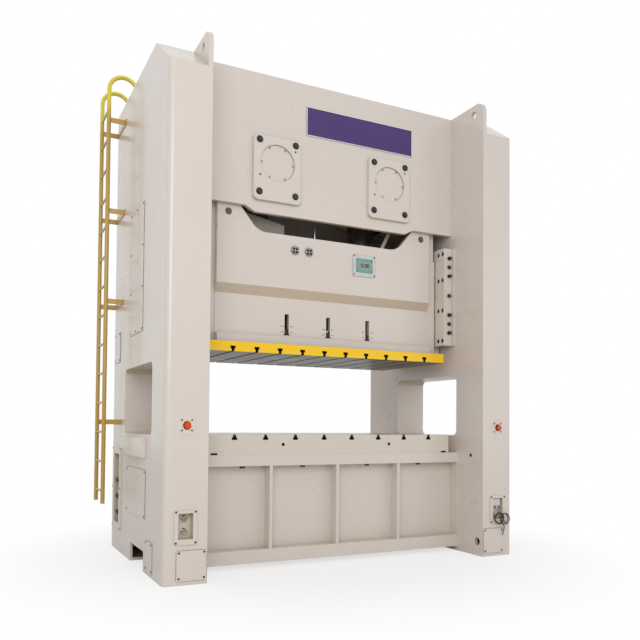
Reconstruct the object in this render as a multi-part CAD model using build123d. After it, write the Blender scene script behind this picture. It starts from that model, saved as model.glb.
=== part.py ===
from build123d import *
import os
from math import acos, atan2, cos, pi, radians, sin, sqrt, tan

# Straight-side double-crank stamping press: two welded uprights, a crown that
# holds the drive, a bed with its bolster, and a slide that runs in four gibs.
# Millimetres. X runs to the right, Y to the back, Z up.
# The origin is on the floor, at the centre of the four foundation bolts.
# A setback is a distance back from the front faces of the uprights.

# Clearances
running_clearance = 0.08
seat_clearance = 0.05
slide_clearance = 0.3
side_clearance = 0.5
overcut = 1.0

# Main frame
clear_width = 2840.0
column_width = 370.0
column_depth = 2200.0
column_front_drop = 330.0
roof_break = 450.0
skin_plate = 25.0
inner_plate = 40.0
bend_radius = 50.0
lug_corner_radius = 105.0
lug_hole_radius = 39.0
lug_hole_setback = 161.0
lug_hole_drop = 98.0
low_lug_setback = 85.0
low_lug_z = 140.0
pin_hole_radius = 12.0
pin_hole_setback = 190.0
pin_hole_drop = 200.0

# Window tunnel through each upright
window_half_length = 570.0
window_shift = 100.0
window_drop = 7.0
window_height = 630.0
window_corner = 60.0
window_liner = 20.0

# Feet, foundation holes and jacking openings
foot_pad_length = 300.0
foot_pad_height = 60.0
foundation_hole_radius = 24.0
foundation_inset = 250.0
jack_opening_setback = 675.0
jack_opening_length = 550.0
jack_opening_height = 175.0

# Bed
bed_depth = 1380.0
bed_height = 977.0
bed_top_flange = 102.0
bed_bottom = 45.0
bed_bottom_flange = 120.0
bed_web_recess = 120.0
bed_web = 30.0
bed_rib = 30.0
bed_rib_pitch = 690.0

# Bolster and T slots
bolster_side_gap = 110.0
bolster_height = 185.0
bolster_slots = 8
bolster_slot_margin = 260.0
slot_neck = 28.0
slot_neck_depth = 26.0
slot_head = 50.0
slot_head_depth = 24.0
plate_chamfer = 6.0
lift_hole_radius = 15.0
lift_hole_depth = 80.0
bolster_lift_hole_x = 575.0
key_notch_inset = 70.0
key_notch_width = 62.0
key_notch_height = 18.0
key_notch_depth = 40.0
bolster_bolt_radius = 15.0
bolster_bolt_inset = 50.0
bolster_bolt_places = (350.0, 955.0)
bolster_bolt_grip = 60.0
bolster_bolt_spare = 10.0
bolster_bolt_across = 46.0
bolster_bolt_head = 19.0
bolt_hole_play = 1.5

# Slide, with its plate a tool's height above the bolster at the top of the stroke
daylight = 755.0
slide_stroke = 250.0
slide_plate_depth = 1232.0
slide_plate_height = 93.0
slide_slots = 10
slide_slot_margin = 251.5
slide_depth = 1020.0
slide_height = 1005.0
slide_panel_inset = 122.0
slide_rib_gap = 20.0
slide_rib_depth = 135.0
slide_floor = 90.0
slide_top_plate = 40.0
slide_wall = 50.0
ear_thickness = 60.0
ear_rise = 340.0
recess_rise = 60.0
recess_inset = 403.0
recess_slope = 225.0
recess_round = 190.0
band_rise = 549.0
band_height = 85.0
lower_panel_recess = 50.0
flange_reach = 80.0
flange_chamfer = 25.0
slide_flank_step = 5.0

# Knockout bars
knockout_pedestal_gap = 11.0
knockout_slot_width = 44.0
knockout_slot_height = 205.0
knockout_slot_lift = 15.0
knockout_foot_width = 60.0
knockout_foot_height = 14.0
knockout_bar_width = 38.0
knockout_bar_height = 60.0
knockout_bar_inset = 5.0
knockout_bar_chamfer = 4.0

# Gibs and liners
gib_width = 120.0
gib_lead = 100.0
gib_depth = 210.0
gib_rise = 95.0
gib_height = 1035.0
gib_foot_reach = 34.0
gib_foot_thickness = 20.0
gib_screw_insets = (28.0, 102.0)
gib_screw_rows = (52.0, 374.0, 697.0, 976.0)
gib_screw_head_radius = 22.0
gib_screw_radius = 15.0
gib_screw_sink = 8.0
gib_screw_head = 30.0
gib_screw_play = 1.0
gib_jack_inset = 62.0
gib_jack_rows = (135.0, 325.0, 740.0, 930.0)
gib_lock_rows = (230.0, 530.0, 835.0)
gib_stud_radius = 12.0
gib_stud_out = 42.0
gib_nut_height = 18.0
gib_nut_across = 36.0
gib_stud_depth = 60.0
liner_plate = 15.0
liner_height = 800.0
liner_rise = 90.0
liner_inset = 5.0

# Cranks, rods and die height screws
journal_radius = 100.0
bush_wall = 15.0
bearing_boss_wall = 75.0
bearing_boss_length = 150.0
rear_boss_length = 60.0
journal_end = 5.0
crank_web = 110.0
crank_web_radius = 150.0
counterweight_radius = 290.0
counterweight_half_angle = 55.0
crank_pin_radius = 110.0
rod_length = 1325.0
rod_width = 238.0
rod_eye_wall = 80.0
rod_shank_depth = 140.0
rod_shank_half = 150.0
rod_sleeve_wall = 35.0
rod_sleeve_drop = 435.0
rod_flare_drop = 685.0
rod_sleeve_rise = 340.0
screw_radius = 70.0
screw_length = 740.0
screw_bore_spare = 100.0
ball_rise = 505.0
ball_radius = 115.0
ball_housing_wall = 115.0
ball_housing_height = 400.0
ball_housing_under = 160.0
pedestal_radius = 140.0
adjusting_gear_teeth = 24
adjusting_gear_module = 14.0
adjusting_gear_face = 60.0
adjusting_gear_rise = 130.0
adjusting_gear_room = 12.0
adjusting_gear_flank_points = 2
rod_opening_radius = 150.0

# Gear train
bull_gear_gap = 48.0
bull_teeth = 58
pinion_teeth = 14
pressure_angle = 25.0
gear_addendum = 0.8
gear_dedendum = 1.0
gear_backlash = 2.4
bull_flank_points = 3
pinion_flank_points = 4
gear_face = 160.0
gear_front_gap = 50.0
gear_rim = 60.0
gear_web = 40.0
gear_hub_wall = 60.0
gear_hole_radius = 95.0
gear_hole_count = 6
pinion_shaft_radius = 70.0
pinion_boss_wall = 50.0

# Crown
crown_gap = 10.0
crown_wall = 50.0
crown_roof_rise = 840.0
crown_end_drop = 425.0
crown_middle_step = 52.0
crown_step_outer = 930.0
crown_step_inner = 832.0
crown_step_round = 60.0
middle_wall_gap = 30.0
gear_case_room = 29.0
gear_case_gap = 150.0
gear_case_under = 39.0
gear_case_over_gib = 15.0
roof_plate = 25.0

# Balance cylinders
balance_inset = 220.0
balance_shelf_half = 180.0
balance_shelf_play = 5.0
balance_shelf_rise = 80.0
balance_rod_radius = 30.0
balance_rod_foot = 70.0
balance_rod_foot_height = 30.0
balance_radius = 150.0
balance_wall = 15.0
balance_cap = 30.0
balance_flange_radius = 175.0
balance_height = 800.0
balance_piston_rise = 620.0
balance_piston_height = 100.0

# Flywheel, clutch, belts and motor
flywheel_radius = 450.0
flywheel_width = 160.0
flywheel_gap = 50.0
flywheel_rim = 90.0
flywheel_web = 50.0
flywheel_hub_wall = 60.0
clutch_radius = 180.0
clutch_width = 185.0
clutch_gap = 6.0
clutch_chamfer = 12.0
pulley_radius = 112.0
belt_count = 4
belt_pitch = 34.0
belt_width = 20.0
belt_height = 13.0
groove_width = 24.0
groove_depth = 16.0
belt_lift = 0.5
motor_x = 500.0
motor_radius = 200.0
motor_length = 620.0
motor_back_gap = 90.0
motor_shaft_radius = 30.0
motor_centre_height = 225.0
motor_foot_width = 420.0
motor_foot_height = 30.0
motor_foot_inset = 90.0
motor_saddle_width = 240.0
motor_bore_depth = 120.0
motor_base_height = 40.0
motor_base_margin = 60.0
motor_box_size = 190.0
motor_box_setback = 200.0
motor_box_rise = 60.0
guard_wall = 4.0
guard_gap = 50.0
guard_back_gap = 40.0
guard_hole_gap = 20.0

# Covers and sign plate on the crown
cover_width = 487.0
cover_height = 620.0
cover_thickness = 36.0
cover_round = 45.0
cover_drop = 57.0
cover_edge = 4.0
cap_radius = 175.0
cap_thickness = 22.0
cap_edge = 3.0
cover_bolt_x = 184.0
cover_bolt_z = 245.0
cover_bolt_lift = 11.0
cover_bolt_radius = 12.0
cover_bolt_across = 46.0
cover_bolt_head = 16.0
cap_screw_inset = 17.0
cap_screw_radius = 9.0
cap_screw_height = 6.0
cap_screw_count = 6
sign_width = 1220.0
sign_height = 285.0
sign_x = 300.0
sign_drop = 357.0
sheet = 6.0

# Covers and boxes on the uprights
panel_length = 541.0
panel_height = 1185.0
panel_shift = 6.0
panel_z = 2732.0
panel_lap = 50.0
strip_length = 268.0
strip_height = 308.0
strip_back_inset = 223.0
strip_z = 2083.0
cover_lap = 28.0
foot_cover_length = 235.0
foot_cover_height = 262.0
foot_cover_inset = 458.0
foot_cover_z = 162.0
toe_cover_width = 250.0
toe_cover_height = 245.0
toe_cover_inset = 52.0
toe_cover_z = 154.0
cover_corner = 10.0
door_length = 770.0
door_height = 430.0
door_shift = 85.0
door_z = 673.0
hood_height = 192.0
hood_z = 1083.0
hood_depth = 40.0
hood_wall = 6.0
hood_round = 18.0
plug_box_length = 400.0
plug_box_height = 830.0
plug_box_back_inset = 315.0
plug_box_z = 636.0
plug_recess_length = 255.0
plug_recess_height = 700.0
plug_recess_depth = 80.0
plug_frame = 14.0
plug_length = 200.0
plug_height = 46.0
plug_depth = 45.0
plug_rows = (80.0, -84.0, -246.0)
plug_chamfer = 5.0
socket_wall = 4.0
socket_box_width = 190.0
socket_box_height = 276.0
socket_box_z = 461.0
socket_opening_width = 122.0
socket_opening_height = 208.0
socket_opening_lift = 11.0
socket_frame = 10.0
socket_depth = 60.0
socket_radius = 27.0
socket_rise = 30.0
socket_rim = 5.0
socket_base = 8.0
socket_pitch = 104.0

# Stop buttons
stop_height = 1284.0
stop_plate_radius = 74.0
stop_plate_thickness = 4.0
stop_collar_radius = 33.0
stop_collar_height = 10.0
stop_barrel_radius = 19.0
stop_barrel_length = 55.0
stop_barrel_end = 10.0
stop_hole_play = 3.0
stop_head_radius = 28.0
stop_head_height = 15.0
stop_head_round = 9.0
stop_neck_radius = 11.0
stop_neck_spare = 4.0
stop_travel = 6.0
stop_gap = 8.0

# Connector block with its cable
block_width = 100.0
block_height = 72.0
block_depth = 45.0
block_round = 6.0
block_top_gap = 6.0
gland_radius = 12.0
gland_length = 30.0
gland_half_pitch = 26.0
gland_inset = 20.0
gland_chamfer = 4.0
cable_radius = 4.8
coil_radius = 53.0
coil_thickness = 12.0
coil_runs = 20
coil_sides = 8
coil_out = 34.0
coil_shift = 32.0
coil_drop = 87.0
ring_half_pitch = 33.0
ring_step_out = 12.0
ring_step_down = 8.0

# Ladder on the left upright
ladder_gap = 170.0
ladder_back_inset = 40.0
ladder_width = 400.0
ladder_bottom = 490.0
ladder_tube_radius = 21.0
ladder_rung_radius = 12.0
ladder_rung_pitch = 300.0
ladder_rung_count = 14
ladder_first_rung = 120.0
ladder_hoop_rise = 115.0
ladder_hoop_reach = 290.0
ladder_bar_height = 50.0
ladder_bar_thickness = 8.0
ladder_low_brackets = (821.0, 2047.0)
ladder_high_brackets = (1138.0, 203.0)

# Display and fittings on the slide
display_x = 375.0
display_drop = 149.0
display_width = 265.0
display_height = 220.0
display_depth = 14.0
display_corner = 8.0
display_chamfer = 3.0
screen_width = 190.0
screen_height = 140.0
screen_sink = 5.0
screen_corner = 6.0
plug_radius = 31.0
ear_plug_inset = 108.0
ear_plug_drop = 132.0
ear_plug_sink = 3.0
knurl_radius = 36.0
knurl_height = 14.0
knurl_places = (-394.0, -245.0)
knurl_drop = 82.0
knurl_slot = 10.0
knurl_slot_length = 58.0
knurl_chamfer = 4.0
knurl_slot_turns = (45.0, 135.0)

# Widths and depths worked out from the sizes above
half_clear = clear_width / 2
half_width = half_clear + column_width
column_mid = half_clear + column_width / 2
front_y = -column_depth / 2
back_y = column_depth / 2
foundation_y = back_y - foundation_inset
panel_y = -panel_shift
door_y = -door_shift
strip_y = back_y - strip_back_inset
plug_box_y = back_y - plug_box_back_inset
foot_cover_y = front_y + foot_cover_inset
bolster_width = clear_width - 2 * bolster_side_gap
bolster_slot_pitch = (bolster_width - 2 * bolster_slot_margin) / (bolster_slots - 1)
bed_front = -bed_depth / 2
gib_inner_face = half_clear - gib_width
slide_plate_width = 2 * gib_inner_face
slide_slot_pitch = (slide_plate_width - 2 * slide_slot_margin) / (slide_slots - 1)
slide_panel_half = gib_inner_face - slide_panel_inset
slide_rib_half = half_clear - slide_rib_gap
slide_flank_half = gib_inner_face - slide_clearance - liner_plate
slide_front = -slide_depth / 2
slide_lower_front = slide_front + lower_panel_recess
gib_front = slide_front - gib_lead
gib_back = gib_front + gib_depth
rib_front = gib_back + slide_clearance + liner_plate
crank_x = (half_clear - gear_case_gap - roof_plate - gear_case_room + bull_gear_gap / 2) / 2
knockout_spacing = crank_x - pedestal_radius - knockout_bar_width / 2 - knockout_pedestal_gap
bush_radius = journal_radius + bush_wall
rod_sleeve_radius = screw_radius + rod_sleeve_wall
ball_housing_radius = ball_radius + ball_housing_wall
bull_tip_radius = crank_x - bull_gear_gap / 2
gear_module = bull_tip_radius / (bull_teeth / 2 + gear_addendum)
bull_pitch_radius = gear_module * bull_teeth / 2
pinion_pitch_radius = gear_module * pinion_teeth / 2
adjusting_gear_tip = adjusting_gear_module * (adjusting_gear_teeth / 2 + gear_addendum)
crown_front = slide_front - crown_gap - crown_wall
middle_wall_front = -slide_front + middle_wall_gap
gear_front = middle_wall_front + crown_wall + gear_front_gap
gear_case_half = half_clear - gear_case_gap
flywheel_front = back_y + flywheel_gap
clutch_front = flywheel_front + flywheel_width + clutch_gap
balance_x = half_clear - balance_inset
motor_back = back_y - motor_back_gap
motor_front = motor_back - motor_length

# Heights worked out from the sizes above, from the floor up
bed_top = bed_bottom + bed_height
bolster_top = bed_top + bolster_height
window_bottom = bolster_top - window_drop
slide_plate_bottom = bolster_top + daylight
slide_bottom = slide_plate_bottom + slide_plate_height
slide_top = slide_bottom + slide_height
slide_floor_top = slide_bottom + slide_floor
band_top = slide_bottom + band_rise
ear_top = slide_top + ear_rise
recess_bottom = slide_top + recess_rise
gib_bottom = slide_bottom + gib_rise
gib_top = gib_bottom + gib_height
liner_bottom = gib_bottom + liner_rise
ball_height = slide_bottom + ball_rise
ball_housing_bottom = ball_height - ball_housing_under
ball_housing_top = ball_housing_bottom + ball_housing_height
adjusting_gear_bottom = ball_height + adjusting_gear_rise
screw_top = ball_height + screw_length
screw_bore_top = screw_top + screw_bore_spare
pin_height = ball_height + rod_length
crank_height = pin_height - slide_stroke / 2
rod_sleeve_bottom = ball_height + rod_sleeve_rise
rod_sleeve_top = pin_height - rod_sleeve_drop
rod_flare_bottom = pin_height - rod_flare_drop
pinion_height = crank_height + sqrt((bull_pitch_radius + pinion_pitch_radius)**2 - crank_x**2)
crown_end_bottom = crank_height - crown_end_drop
crown_mid_bottom = crown_end_bottom - crown_middle_step
gear_case_bottom = crank_height - bull_tip_radius - gear_case_under - roof_plate
gear_case_shoulder = max(gib_top, gear_case_bottom + roof_plate) + gear_case_over_gib
press_height = crank_height + crown_roof_rise
column_front_height = press_height - column_front_drop
balance_shelf = ear_top + balance_shelf_rise
balance_piston_bottom = balance_shelf + balance_piston_rise
cover_z = crank_height - cover_drop
sign_z = press_height - sign_drop
motor_height = press_height + motor_base_height + motor_centre_height


def at(setback):
    """Y of a place measured back from the front faces of the uprights."""
    return front_y + setback


def front_plane(y):
    """A plane that faces the front: local x is X and local y is Z."""
    return Plane(origin=(0, y, 0), x_dir=(1, 0, 0), z_dir=(0, -1, 0))


def side_plane(x):
    """A plane that faces right: local x is Y and local y is Z."""
    return Plane(origin=(x, 0, 0), x_dir=(0, 1, 0), z_dir=(1, 0, 0))


def block(x0, x1, y0, y1, z0, z1):
    """A plate or block between two corners."""
    centre = ((x0 + x1) / 2, (y0 + y1) / 2, (z0 + z1) / 2)
    return Pos(*centre) * Box(x1 - x0, y1 - y0, z1 - z0)


def bar_y(x, z, radius, y0, y1):
    """A round bar that runs front to back."""
    end = Plane(origin=(x, y0, z), x_dir=(1, 0, 0), z_dir=(0, 1, 0))
    return extrude(end * Circle(radius), y1 - y0)


def bar_z(x, y, radius, z0, z1):
    """A round upright bar."""
    return extrude(Pos(x, y, z0) * Circle(radius), z1 - z0)


def bar_x(y, z, radius, x0, x1):
    """A round bar that runs left to right."""
    end = Plane(origin=(x0, y, z), x_dir=(0, 1, 0), z_dir=(1, 0, 0))
    return extrude(end * Circle(radius), x1 - x0)


def polygon(points):
    """A flat face from its corners."""
    return make_face(Polyline(*points, close=True))


def on_side(shape, side):
    """The shape as built on the right, or mirrored to the left."""
    return shape if side > 0 else mirror(shape, about=Plane.YZ)


def facing_front(shape, x, y, z):
    """Turn a screw so that its head faces the front, seated at y."""
    return Plane(origin=(x, y, z), x_dir=(1, 0, 0), z_dir=(0, -1, 0)) * shape


def bolt(radius, across, head_height, length):
    """A hexagon bolt whose head stands on the origin and whose shank runs down."""
    head = extrude(RegularPolygon(across / 2, 6, major_radius=False), head_height)
    return head + extrude(Circle(radius), -length)


def save(name, *shapes):
    """Write one piece, or one group of separate solids."""
    solids = [solid for shape in shapes for solid in shape.solids()]
    whole = solids[0] if len(solids) == 1 else Compound(children=solids)
    export_step(whole, f"parts/{name}.step")


os.makedirs("parts", exist_ok=True)


# Uprights: a folded outer skin welded to a thicker inner plate
def upright():
    skin_width = column_width - inner_plate
    skin_face = polygon([
        (front_y, 0), (back_y, 0), (back_y, press_height),
        (at(roof_break), press_height), (front_y, column_front_height),
    ])
    skin = extrude(side_plane(half_clear + inner_plate) * skin_face, skin_width)
    skin = fillet(skin.edges().filter_by(Axis.Z).group_by(Axis.X)[-1], bend_radius)
    cavity = offset(skin_face, amount=-skin_plate, kind=Kind.INTERSECTION)
    hollow = extrude(side_plane(half_clear + inner_plate) * cavity, skin_width - skin_plate)
    hollow = fillet(hollow.edges().filter_by(Axis.Z).group_by(Axis.X)[-1], bend_radius - skin_plate)
    inner_face = polygon([
        (front_y, 0), (back_y, 0), (back_y, press_height), (front_y, press_height),
    ])
    lug_corner = inner_face.vertices().sort_by_distance((front_y, press_height, 0))[0]
    inner_face = fillet(lug_corner, lug_corner_radius)
    body = skin - hollow + extrude(side_plane(half_clear) * inner_face, inner_plate)

    window_length = 2 * window_half_length
    window_at = Pos(-window_shift, window_bottom + window_height / 2)
    window = RectangleRounded(window_length, window_height, window_corner)
    tunnel = RectangleRounded(window_length + 2 * window_liner, window_height + 2 * window_liner,
                              window_corner + window_liner)
    body += extrude(side_plane(half_clear + inner_plate) * window_at * tunnel,
                    skin_width - skin_plate)
    body -= extrude(side_plane(half_clear - overcut) * window_at * window,
                    column_width + 2 * overcut)

    for y, z, radius in (
        (at(lug_hole_setback), press_height - lug_hole_drop, lug_hole_radius),
        (at(low_lug_setback), low_lug_z, lug_hole_radius),
        (at(pin_hole_setback), window_bottom - pin_hole_drop, pin_hole_radius),
    ):
        body -= bar_x(y, z, radius, half_clear - overcut, half_clear + inner_plate + overcut)
    body -= block(half_clear - overcut, half_width + overcut, at(jack_opening_setback),
                  at(jack_opening_setback + jack_opening_length), -overcut, jack_opening_height)
    for pad_side in (-1, 1):
        pad_y = pad_side * foundation_y
        body += block(half_clear + inner_plate, half_width - skin_plate,
                      pad_y - foot_pad_length / 2, pad_y + foot_pad_length / 2,
                      skin_plate, foot_pad_height)
        body -= bar_z(column_mid, pad_y, foundation_hole_radius, -overcut, foot_pad_height + overcut)

    outer_skin = side_plane(half_width - skin_plate - overcut)
    through = skin_plate + 2 * overcut
    body -= extrude(outer_skin * Pos(panel_y, panel_z) * Rectangle(
        panel_length - 2 * panel_lap, panel_height - 2 * panel_lap), through)
    body -= extrude(outer_skin * Pos(foot_cover_y, foot_cover_z) * Rectangle(
        foot_cover_length - 2 * cover_lap, foot_cover_height - 2 * cover_lap), through)
    front_skin = front_plane(front_y + skin_plate + overcut)
    body -= extrude(front_skin * Pos(toe_cover_x, toe_cover_z) * Rectangle(
        toe_cover_width - 2 * cover_lap, toe_cover_height - 2 * cover_lap), through)
    body -= extrude(front_skin * Pos(column_mid, socket_box_z + socket_opening_lift) * Rectangle(
        socket_opening_width + 2 * (socket_wall + side_clearance),
        socket_opening_height + 2 * (socket_wall + side_clearance)), through)
    body -= bar_y(column_mid, stop_height, stop_barrel_radius + stop_hole_play, front_y - overcut,
                  front_y + skin_plate + overcut)
    return body


toe_cover_x = column_mid - toe_cover_inset
right_upright = upright()
left_upright = mirror(right_upright, about=Plane.YZ)
left_skin = side_plane(-half_width - overcut)
through_skin = skin_plate + 2 * overcut
left_upright -= extrude(left_skin * Pos(door_y, door_z) * Rectangle(
    door_length - 2 * panel_lap, door_height - 2 * panel_lap), through_skin)
left_upright -= extrude(left_skin * Pos(plug_box_y, plug_box_z) * Rectangle(
    plug_recess_length + 2 * (socket_wall + side_clearance),
    plug_recess_height + 2 * (socket_wall + side_clearance)), through_skin)
save("left_upright", left_upright)
save("right_upright", right_upright)


# Crown: stepped front wall, middle and back bearing walls, gear case and roof
def crown():
    under_roof = press_height - roof_plate
    wall_face = polygon([
        (-half_clear, crown_end_bottom), (-crown_step_outer, crown_end_bottom),
        (-crown_step_inner, crown_mid_bottom), (crown_step_inner, crown_mid_bottom),
        (crown_step_outer, crown_end_bottom), (half_clear, crown_end_bottom),
        (half_clear, under_roof), (-half_clear, under_roof),
    ])
    steps = [v for v in wall_face.vertices() if abs(v.X) < crown_step_outer + overcut]
    wall_face = fillet(steps, crown_step_round)
    front_inside = crown_front + crown_wall
    middle_back = middle_wall_front + crown_wall
    back_inside = back_y - crown_wall
    body = extrude(front_plane(front_inside) * wall_face, crown_wall)
    for wall_front in (middle_wall_front, back_inside):
        body += block(-half_clear, half_clear, wall_front, wall_front + crown_wall,
                      gear_case_shoulder, under_roof)
        body += block(-gear_case_half, gear_case_half, wall_front, wall_front + crown_wall,
                      gear_case_bottom, gear_case_shoulder)
    body += block(-half_clear, half_clear, crown_front, back_y, under_roof, press_height)

    # the gear case's oil pan, narrower at the bottom so that it clears the rear gibs
    body += block(-gear_case_half, gear_case_half, middle_back, back_inside,
                  gear_case_bottom, gear_case_bottom + roof_plate)
    for side in (-1, 1):
        cheek = block(gear_case_half - roof_plate, gear_case_half, middle_back, back_inside,
                      gear_case_bottom, gear_case_shoulder + roof_plate)
        shoulder = block(gear_case_half, half_clear, middle_back, back_inside,
                         gear_case_shoulder, gear_case_shoulder + roof_plate)
        body += on_side(cheek + shoulder, side)

    # shelves that carry the balance cylinders
    for side in (-1, 1):
        shelf = block(balance_x - balance_shelf_half, half_clear, front_inside,
                      middle_wall_front, balance_shelf, balance_shelf + roof_plate)
        shelf -= bar_z(balance_x, 0, balance_rod_radius + balance_shelf_play,
                       balance_shelf - overcut, balance_shelf + roof_plate + overcut)
        body += on_side(shelf, side)

    # bearing bosses for the crankshafts and the pinion shaft
    rear_bore = back_inside - rear_boss_length - overcut
    boss = bush_radius + bearing_boss_wall
    bore = bush_radius + seat_clearance
    for x in (-crank_x, crank_x):
        body += bar_y(x, crank_height, boss, front_inside, front_inside + bearing_boss_length)
        body += bar_y(x, crank_height, boss, middle_wall_front - bearing_boss_length, middle_wall_front)
        body += bar_y(x, crank_height, boss, back_inside - rear_boss_length, back_inside)
        body -= bar_y(x, crank_height, bore, crown_front - overcut, middle_back + overcut)
        body -= bar_y(x, crank_height, bore, rear_bore, back_y + overcut)
    pinion_bore = pinion_shaft_radius + bush_wall + seat_clearance
    pinion_boss = pinion_shaft_radius + bush_wall + pinion_boss_wall
    body += bar_y(0, pinion_height, pinion_boss, middle_wall_front - rear_boss_length,
                  middle_wall_front)
    body += bar_y(0, pinion_height, pinion_boss, back_inside - rear_boss_length, back_inside)
    body -= bar_y(0, pinion_height, pinion_bore, middle_wall_front - rear_boss_length - overcut,
                  middle_back + overcut)
    body -= bar_y(0, pinion_height, pinion_bore, rear_bore, back_y + overcut)
    return body


save("crown", crown())


def bush(x, z, inner, y0, y1):
    """A plain bearing bush that runs front to back."""
    outer = bar_y(x, z, inner + bush_wall, y0, y1)
    return outer - bar_y(x, z, inner + running_clearance, y0 - overcut, y1 + overcut)


bushes = []
middle_back = middle_wall_front + crown_wall
back_inside = back_y - crown_wall
for x in (-crank_x, crank_x):
    bushes.append(bush(x, crank_height, journal_radius, crown_front,
                       crown_front + crown_wall + bearing_boss_length))
    bushes.append(bush(x, crank_height, journal_radius,
                       middle_wall_front - bearing_boss_length, middle_back))
    bushes.append(bush(x, crank_height, journal_radius, back_inside - rear_boss_length, back_y))
bushes.append(bush(0, pinion_height, pinion_shaft_radius,
                   middle_wall_front - rear_boss_length, middle_back))
bushes.append(bush(0, pinion_height, pinion_shaft_radius, back_inside - rear_boss_length, back_y))
save("bearing_bushes", *bushes)


# Bed: a deep box beam with open bays in front and behind, parted by welded ribs
web_front = bed_front + bed_web_recess
web_bottom = bed_bottom + bed_bottom_flange
web_top = bed_top - bed_top_flange


def bed():
    right_half = [
        (-bed_front, bed_bottom), (-bed_front, web_bottom), (-web_front, web_bottom),
        (-web_front, web_top), (-bed_front, web_top), (-bed_front, bed_top),
    ]
    left_half = [(-y, z) for y, z in reversed(right_half)]
    section = polygon(right_half + left_half)
    section -= Pos(0, (web_top + web_bottom) / 2) * Rectangle(
        -2 * (web_front + bed_web), web_top - web_bottom)
    body = extrude(side_plane(-half_clear) * section, clear_width)
    for side in (-1, 1):
        for place in bolster_bolt_places:
            for row in (-1, 1):
                body -= bar_z(side * place, row * bolster_bolt_y,
                              bolster_bolt_radius + bolt_hole_play,
                              web_top - overcut, bed_top + overcut)
    return body


bolster_bolt_y = -bed_front - bolster_bolt_inset
save("bed", bed())
bed_ribs = []
for place in (-1, 0, 1):
    rib_x = place * bed_rib_pitch
    for y0, y1 in ((bed_front, web_front), (-web_front, -bed_front)):
        bed_ribs.append(block(rib_x - bed_rib / 2, rib_x + bed_rib / 2, y0, y1,
                              web_bottom, web_top))
save("bed_ribs", *bed_ribs)


def slot_section(mouth, direction):
    """The section of a T slot whose mouth is at height mouth and opens in direction."""
    neck_end = mouth - direction * slot_neck_depth
    head_end = neck_end - direction * slot_head_depth
    return polygon([
        (-slot_neck / 2, mouth + direction * overcut), (slot_neck / 2, mouth + direction * overcut),
        (slot_neck / 2, neck_end), (slot_head / 2, neck_end), (slot_head / 2, head_end),
        (-slot_head / 2, head_end), (-slot_head / 2, neck_end), (-slot_neck / 2, neck_end),
    ])


def slotted_plate(width, front, bottom, top, count, pitch, direction):
    """A thick plate, from front to its mirror image, with T slots that run front to back."""
    plate = block(-width / 2, width / 2, front, -front, bottom, top)
    plate = chamfer(plate.edges().filter_by(Axis.Z), plate_chamfer)
    section = slot_section(top if direction > 0 else bottom, direction)
    cutter = extrude(front_plane(overcut - front) * section, 2 * (overcut - front))
    for index in range(count):
        plate -= Pos((index - (count - 1) / 2) * pitch, 0, 0) * cutter
    return plate


# Bolster
key_notch_x = bolster_width / 2 - key_notch_inset
bolster = slotted_plate(bolster_width, bed_front, bed_top, bolster_top,
                        bolster_slots, bolster_slot_pitch, 1)
for side in (-1, 1):
    for row in (-1, 1):
        edge_y = -row * bed_front
        bolster -= bar_y(side * bolster_lift_hole_x, bed_top + bolster_height / 2, lift_hole_radius,
                         edge_y - lift_hole_depth, edge_y + lift_hole_depth)
        bolster -= block(side * key_notch_x - key_notch_width / 2,
                         side * key_notch_x + key_notch_width / 2,
                         edge_y - key_notch_depth, edge_y + key_notch_depth,
                         bed_top - overcut, bed_top + key_notch_height)
        for place in bolster_bolt_places:
            bolster -= bar_z(side * place, row * bolster_bolt_y,
                             bolster_bolt_radius + seat_clearance,
                             bed_top - overcut, bed_top + bolster_bolt_grip + bolster_bolt_spare)
save("bolster", bolster)

# Bolts that hold the bolster down, put in from below the bed's top flange
bolster_bolt = bolt(bolster_bolt_radius, bolster_bolt_across, bolster_bolt_head,
                    bed_top_flange + bolster_bolt_grip)
bolster_bolts = []
for side in (-1, 1):
    for place in bolster_bolt_places:
        for row in (-1, 1):
            seat = Plane(origin=(side * place, row * bolster_bolt_y, bed_top - bed_top_flange),
                         x_dir=(1, 0, 0), z_dir=(0, 0, -1))
            bolster_bolts.append(seat * bolster_bolt)
save("bolster_bolts", *bolster_bolts)


# Bearing covers on the crown, with a round cap let into each
cover_seat = crown_front - cover_thickness
cap_screw_circle = cap_radius - cap_screw_inset


def bearing_cover(x):
    face = Pos(x, cover_z) * RectangleRounded(cover_width, cover_height, cover_round)
    face -= Pos(x, crank_height) * Circle(cap_radius + side_clearance)
    cover = extrude(front_plane(crown_front) * face, cover_thickness)
    outer_edges = cover.faces().sort_by(Axis.Y)[0].outer_wire().edges()
    cover = chamfer(outer_edges, cover_edge)
    for sx in (-1, 1):
        for sz in (-1, 1):
            cover -= bar_y(x + sx * cover_bolt_x, cover_z + cover_bolt_lift + sz * cover_bolt_z,
                           cover_bolt_radius + seat_clearance, cover_seat - overcut,
                           crown_front + overcut)
    return cover


def bearing_cap(x):
    cap = bar_y(x, crank_height, cap_radius, crown_front - cap_thickness, crown_front)
    rim = cap.edges().filter_by(GeomType.CIRCLE).group_by(Axis.Y)[0]
    return chamfer(rim, cap_edge)


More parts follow.
